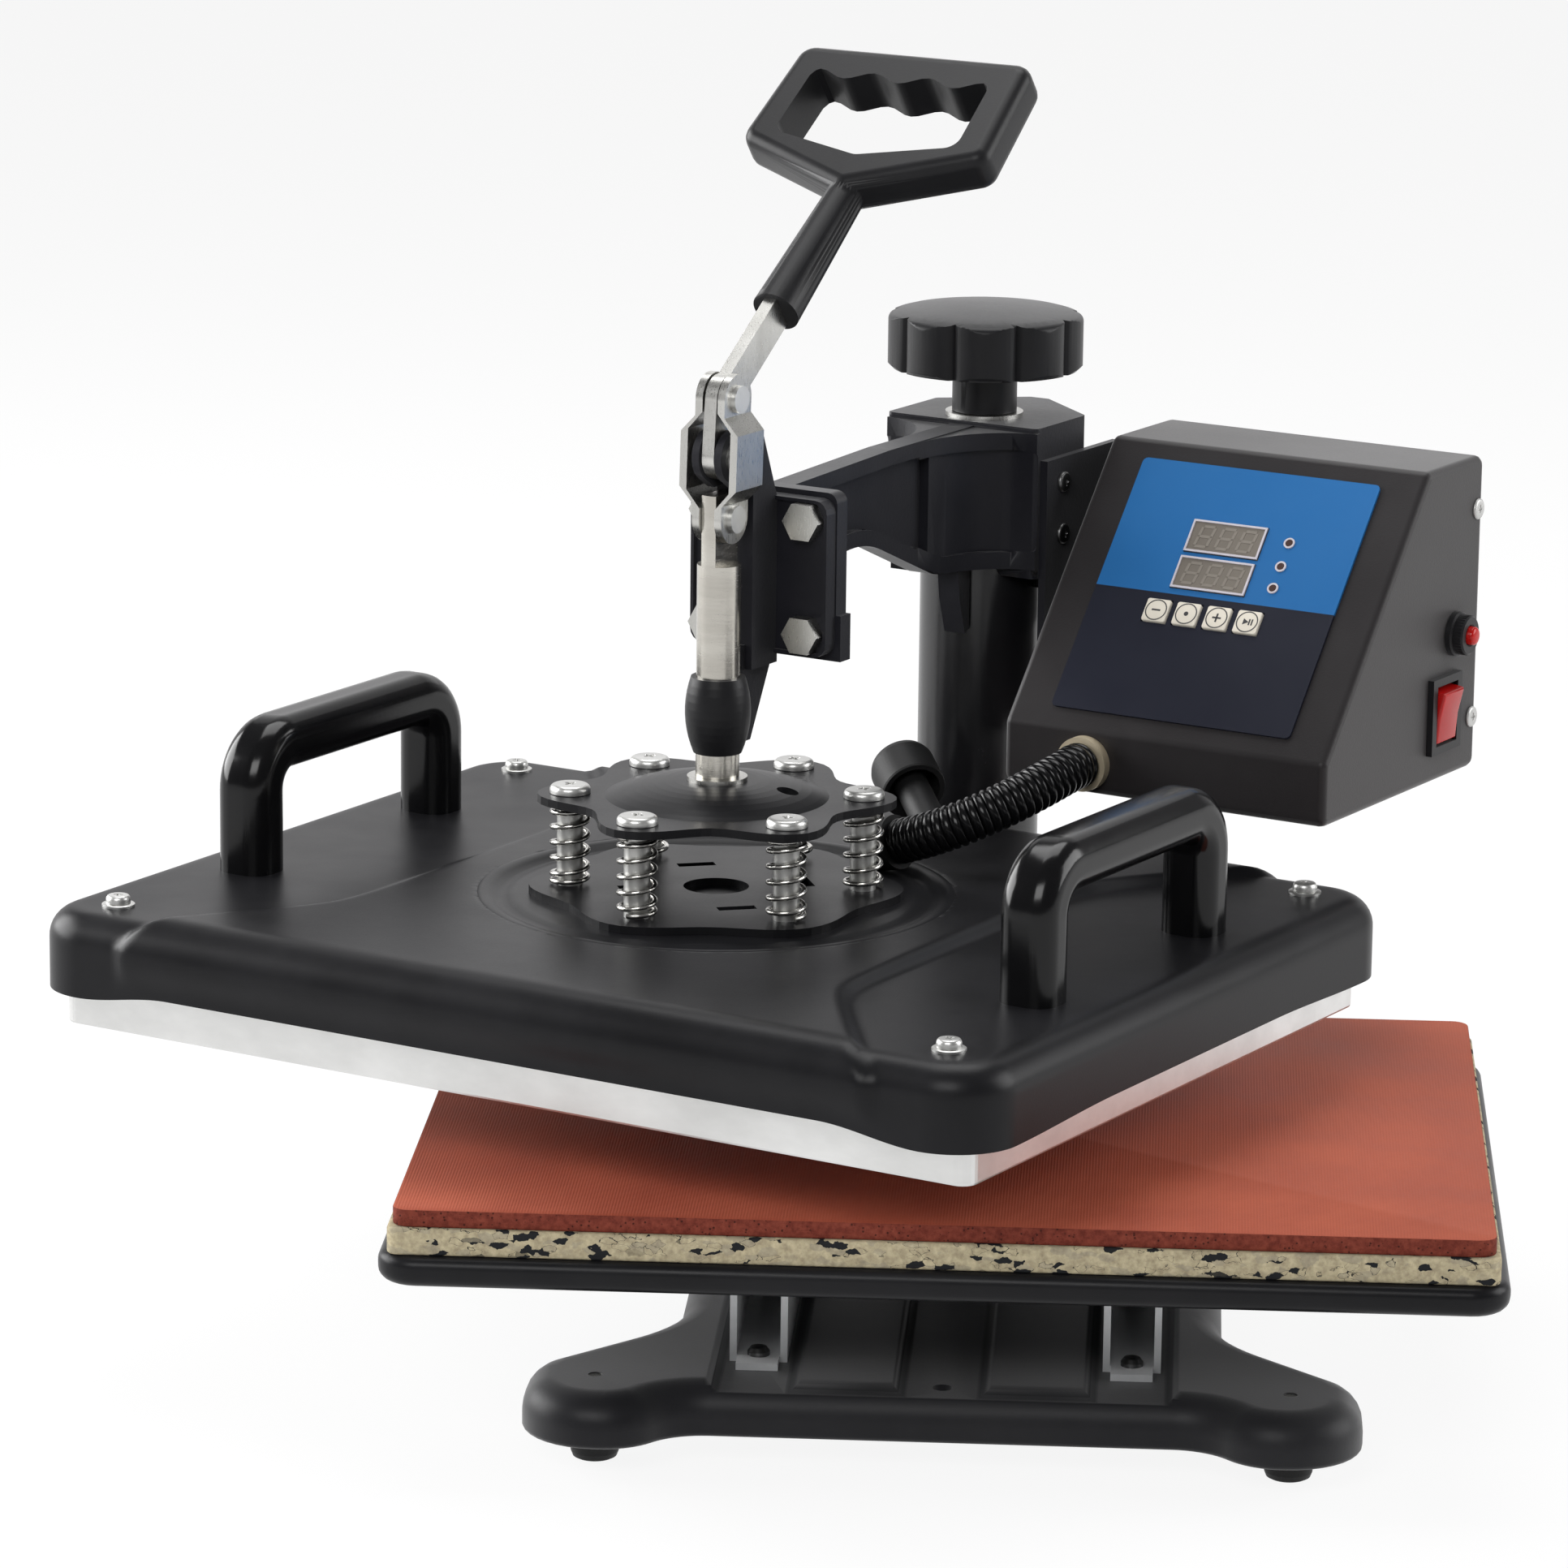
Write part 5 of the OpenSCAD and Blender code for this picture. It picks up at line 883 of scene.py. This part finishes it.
ROCKER_Y, ROCKER_Z, ROCKER_TIP, ROCKER_HOLLOW = 27, BOX_Z + 26, 9, 0.7
BREAKER_Y, BREAKER_Z = 35.5, BOX_Z + 55
COLLAR = [(3.8, -18), (6, -18), (6, 0), (8.2, 0), (8.5, 0.3), (8.5, 2.3), (7.9, 2.9), (7.3, 2.9),
          (7.6, 3.4), (7.6, 6.3), (6.9, 7), (4.3, 7), (3.8, 6.5), (3.8, -18)]
COLLAR_STEPS, KNURL_R, KNURL_Z, KNURL = 72, 7.5, 3, 0.955
BUTTON = [(0, -9), (3.5, -9), (3.5, 8.4), (3.35, 8.9), (2.9, 9.3), (2.2, 9.55), (1.2, 9.68),
          (0, 9.7)]


def rocker_shape():
    """A block with a shallow hollow across its face, X, and round edges about it."""
    bm = box_shape((10, 16.2, 20), (0.6, 0, 0))
    bmesh.ops.bisect_plane(bm, geom=bm.verts[:] + bm.edges[:] + bm.faces[:], dist=0.001,
                           plane_co=(0, 0, 0), plane_no=(0, 0, 1))
    for v in bm.verts:
        if v.co.x > 0 and abs(v.co.z) < 0.1:
            v.co.x -= ROCKER_HOLLOW
    rims = [e for e in bm.edges
            if min(v.co.x for v in e.verts) > 0 and max(abs(v.co.z) for v in e.verts) > 1
            and (abs(e.verts[0].co.y - e.verts[1].co.y) > 1 or rise(e) > 1)]
    bevel(bm, rims, 1.1, 4)
    return bm


def collar_shape():
    """The breaker's ring, its outer rim knurled."""
    bm = turned(COLLAR, COLLAR_STEPS)
    for v in bm.verts:
        step = round(math.degrees(math.atan2(v.co.y, v.co.x)) / (360 / COLLAR_STEPS))
        if math.hypot(v.co.x, v.co.y) > KNURL_R and v.co.z > KNURL_Z and step % 2:
            v.co.x *= KNURL
            v.co.y *= KNURL
    return bm


def add_switches():
    rocker_at = ARM @ shift(BOX_RIGHT - 1.5, ROCKER_Y, ROCKER_Z) @ turn(ROCKER_TIP, "Y")
    finish_piece("rocker_block", transform(rocker_shape(), rocker_at), "rocker",
                 ["power_rocker"])
    breaker_at, = on_right_wall(BOX_RIGHT, BREAKER_Y, [BREAKER_Z])
    finish_piece("breaker_collar", transform(collar_shape(), breaker_at), "arm",
                 ["breaker_body"])
    finish_piece("reset_cap", transform(turned(BUTTON, 40), breaker_at), "reset",
                 ["reset_button"])


add_switches()


# Rounded CAD pieces, shaded smooth between their sharp edges: the body and slot of each

ROUNDED = {"base_frame": ("base", "black_coat"), "bed_tray": ("base", "black_coat"),
           "control_box_shell": ("arm", "black_coat"), "swing_arm": ("arm", "black_alloy"),
           "platen_handles": ("platen", "black_plastic"),
           "lever_grip": ("lever", "black_plastic"), "knob": ("knob_screw", "black_plastic")}


def add_rounded():
    for node, (body, slot) in ROUNDED.items():
        bm = bmesh.new()
        bm.from_mesh(nodes[node].data)
        bmesh.ops.scale(bm, vec=(1 / MM, 1 / MM, 1 / MM), verts=bm.verts)
        bmesh.ops.remove_doubles(bm, verts=bm.verts, dist=0.002)
        bmesh.ops.dissolve_limit(bm, angle_limit=math.radians(0.5), verts=bm.verts,
                                 edges=bm.edges)
        made = finish_piece(node + "_smooth", bm, body, [node], sharp=33.0)
        made.modifiers.new("even_normals", "WEIGHTED_NORMAL").keep_sharp = True


add_rounded()


# Pads of the bed

def add_pad(name, node, trim, corner, rim):
    """A sheet in a pad's place, trimmed; corner and rim are a radius and its steps."""
    low, high = (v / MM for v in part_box(node))
    size = high - low
    bm = box_shape((size.x - trim, size.y - trim, size.z), (low + high) / 2)
    bevel(bm, upright_edges(bm), *corner)
    bevel(bm, [e for e in bm.edges if abs(e.calc_face_angle(0)) > 1.2 and rise(e) < 0.1], *rim)
    made = finish_piece(name, bm, "base", [node])
    return made


def add_pads():
    add_pad("foam_layer", "foam_pad", 0.6, (4, 5), (1.0, 3))
    mat = add_pad("silicone_sheet", "silicone_pad", 0, (6, 6), (0.6, 2))
    mat.data.materials.append(FINISH["cut_silicone"])
    for face in mat.data.polygons:
        face.material_index = 1 if face.normal.z < 0.8 else 0


add_pads()


# Panel print: display frames, digit shapes, lamp rings and key signs

DISPLAY_ACROSS, DISPLAY_ROWS, DISPLAY_W, DISPLAY_H = 46, (30.5, 46.2), 31.0, 13.6
DIGITS = (-8.8, 0, 8.8)
LAMP_ACROSS, LAMP_ROWS = 72, (28.7, 38.8, 48.1)
KEY_ROW, KEY_TOP, SIGN_T = 63.6, 2.0, 0.06
KEYS = {"key_minus": (28.8, "minus_key"), "key_mode": (41.5, "mode_key"),
        "key_plus": (54.3, "plus_key"), "key_start": (67.1, "start_key")}


def frame_shape(w, h, border, t):
    """A flat rectangular frame about its middle."""
    bm = bmesh.new()
    bmesh.ops.create_grid(bm, x_segments=1, y_segments=1, size=0.5,
                          matrix=Matrix.Diagonal((w, h, 1, 1)))
    sides = bmesh.ops.inset_region(bm, faces=bm.faces[:], thickness=border, use_boundary=True,
                                   use_even_offset=True)["faces"]
    bmesh.ops.delete(bm, geom=[f for f in bm.faces if f not in sides], context="FACES_ONLY")
    return thicken(bm, t)


def disc_shape(radius, t, hole=0.0, steps=32):
    if hole:
        return turned([(hole, 0), (radius, 0), (radius, t), (hole, t), (hole, 0)], steps)
    return turned([(0, 0), (radius, 0), (radius, t), (0, t)], steps)


def segment_shape(length, width, t):
    """One bar of a digit with pointed ends."""
    bm = bmesh.new()
    bmesh.ops.create_circle(bm, cap_ends=True, segments=6, radius=0.5)
    for v in bm.verts:
        reach = length / 2 if abs(v.co.x) > 0.4 else length / 2 - width / 2
        v.co.x = math.copysign(reach, v.co.x)
        v.co.y = 0 if abs(v.co.y) < 0.1 else math.copysign(width / 2, v.co.y)
    return thicken(bm, t)


def digit_shape(w, h, stroke, t):
    """All seven bars of an unlit digit, leaning a little."""
    bm = bmesh.new()
    add_copies(bm, segment_shape(w - stroke * 0.6, stroke, t),
               [shift(0, y, 0) for y in (-h / 2, 0, h / 2)])
    add_copies(bm, segment_shape(h / 2 - stroke * 0.6, stroke, t),
               [shift(x, y, 0) @ turn(90, "Z") for x in (-w / 2, w / 2) for y in (-h / 4, h / 4)])
    lean = Matrix.Identity(4)
    lean[0][1] = math.tan(math.radians(8))
    return transform(bm, lean)


def add_print(name, shape, places, finish):
    bm = bmesh.new()
    add_copies(bm, shape, [on_panel(*place) for place in places])
    finish_piece(name, bm, "arm", finish=finish)


def add_panel_print():
    add_print("display_frames", frame_shape(DISPLAY_W, DISPLAY_H, 0.8, 0.75),
              [(DISPLAY_ACROSS, row, PANEL_T) for row in DISPLAY_ROWS], "display_frame")
    add_print("digit_shapes", digit_shape(5.2, 8.6, 1.15, 0.12),
              [(DISPLAY_ACROSS + x, row, PANEL_T + 0.3) for row in DISPLAY_ROWS for x in DIGITS],
              "ghost_digit")
    add_print("lamp_rings", disc_shape(2.2, 0.5, 1.5, 40),
              [(LAMP_ACROSS, row, PANEL_T) for row in LAMP_ROWS], "lamp_ring")


def sign_shape(kind, t):
    """Sign of a key: a ring with a bar, a cross, a plain dot, or a run-and-hold mark."""
    bm = disc_shape(4.4, t, 3.95, 40)
    parts = []
    if kind in ("key_minus", "key_plus"):
        parts.append(box_shape((3.6, 0.7, t), (0, 0, t / 2)))
    if kind == "key_plus":
        parts.append(box_shape((0.7, 3.6, t), (0, 0, t / 2)))
    if kind == "key_mode":
        parts.append(disc_shape(0.9, t))
    if kind == "key_start":
        arrow = bmesh.new()
        bmesh.ops.create_cone(arrow, cap_ends=True, segments=3, radius1=1.5, radius2=1.5, depth=t,
                              matrix=shift(-0.9, 0, t / 2) @ turn(-90, "Z"))
        parts.append(arrow)
        parts += [box_shape((0.6, 2.6, t), (x, 0, t / 2)) for x in (0.9, 2.0)]
    for shape in parts:
        add_copies(bm, shape)
    return bm


def add_keys():
    for node, (across, body) in KEYS.items():
        cap = box_shape((10, 9.5, 5), (0, 0, KEY_TOP - 2.5))
        bevel(cap, upright_edges(cap), 0.9, 4)
        bevel(cap, [e for e in cap.edges if min(v.co.z for v in e.verts) > KEY_TOP - 0.1], 0.45, 3)
        finish_piece(node + "_cap", transform(cap, on_panel(across, KEY_ROW, 0)), body,
                     [node])
        sign = transform(sign_shape(node, SIGN_T), on_panel(across, KEY_ROW, KEY_TOP))
        finish_piece(node + "_sign", sign, body, finish="key_ink")


add_panel_print()
add_keys()


# Floor, light and backdrop, in metres; a light has a place, a target, a size and watts

FLOOR_SIZE = 40.0
LIGHTS = {"left_softbox": ((-1.75, 0.5, 0.8), (0, 0, 0.25), (1.7, 1.1), 52),
          "top_softbox": ((0.0, 0.6, 2.2), (0, 0, 0.2), (1.6, 1.3), 30),
          "back_softbox": ((0.1, 1.6, 1.2), (0, 0.1, 0.25), (2.0, 1.1), 4),
          "right_softbox": ((1.9, 0.2, 0.9), (0, 0, 0.2), (1.2, 1.2), 24),
          "front_fill": ((-0.5, -2.3, 1.7), (0, 0, 0.2), (1.6, 1.0), 34)}


def floor_material():
    """White to the light, and nearly pure white to the camera and in reflections."""
    made = bpy.data.materials.new("floor_white")
    made.use_nodes = True
    tree = made.node_tree
    tree.nodes.remove(tree.nodes["Principled BSDF"])
    diffuse = add_node(tree, "ShaderNodeBsdfDiffuse")
    diffuse.inputs[0].default_value = (0.86, 0.86, 0.86, 1)
    glow = add_node(tree, "ShaderNodeEmission")
    glow.inputs[0].default_value = (1, 1, 1, 1)
    path = add_node(tree, "ShaderNodeLightPath").outputs
    seen = math_node(tree, "MAXIMUM", path["Is Camera Ray"], path["Is Glossy Ray"])
    seen = math_node(tree, "MAXIMUM", seen, path["Is Transmission Ray"])
    mix = add_node(tree, "ShaderNodeMixShader")
    feed(tree, math_node(tree, "MULTIPLY", seen, 0.9), mix.inputs[0])
    feed(tree, diffuse.outputs[0], mix.inputs[1])
    feed(tree, glow.outputs[0], mix.inputs[2])
    feed(tree, mix.outputs[0], tree.nodes["Material Output"].inputs["Surface"])
    return made


def add_floor():
    bm = bmesh.new()
    bmesh.ops.create_grid(bm, x_segments=1, y_segments=1, size=FLOOR_SIZE)
    mesh = bpy.data.meshes.new("floor")
    bm.to_mesh(mesh)
    bm.free()
    mesh.materials.append(floor_material())
    new_object("floor", mesh)


def add_lights():
    for name, (place, target, size, power) in LIGHTS.items():
        data = bpy.data.lights.new(name, "AREA")
        data.shape = "RECTANGLE"
        data.size, data.size_y = size
        data.energy = power
        made = new_object(name, data)
        made.location = place
        made.rotation_mode = "QUATERNION"
        made.rotation_quaternion = (Vector(target) - Vector(place)).to_track_quat("-Z", "Y")


def add_world():
    """A dim room, a little paler overhead, with a pale backdrop behind the press."""
    world = bpy.data.worlds.new("studio")
    bpy.context.scene.world = world
    world.use_nodes = True
    tree = world.node_tree
    view = add_node(tree, "ShaderNodeTexCoord").outputs["Generated"]
    split = split_node(tree, "ShaderNodeSeparateXYZ", view)
    sky = tree.nodes["Background"].inputs
    sky[0].default_value = (1, 0.99, 1, 1)
    room = map_range(tree, split["Z"], 0.0, 0.5, 0.10, 0.16)
    behind = map_range(tree, split["Y"], 0.5, 0.85, 0.0, 0.7)
    low = map_range(tree, split["Z"], 0.3, 0.6, 1.0, 0.0)
    feed(tree, math_node(tree, "MULTIPLY_ADD", behind, low, room), sky[1])


add_floor()
add_world()
add_lights()
bpy.context.scene.view_settings.view_transform = "Standard"
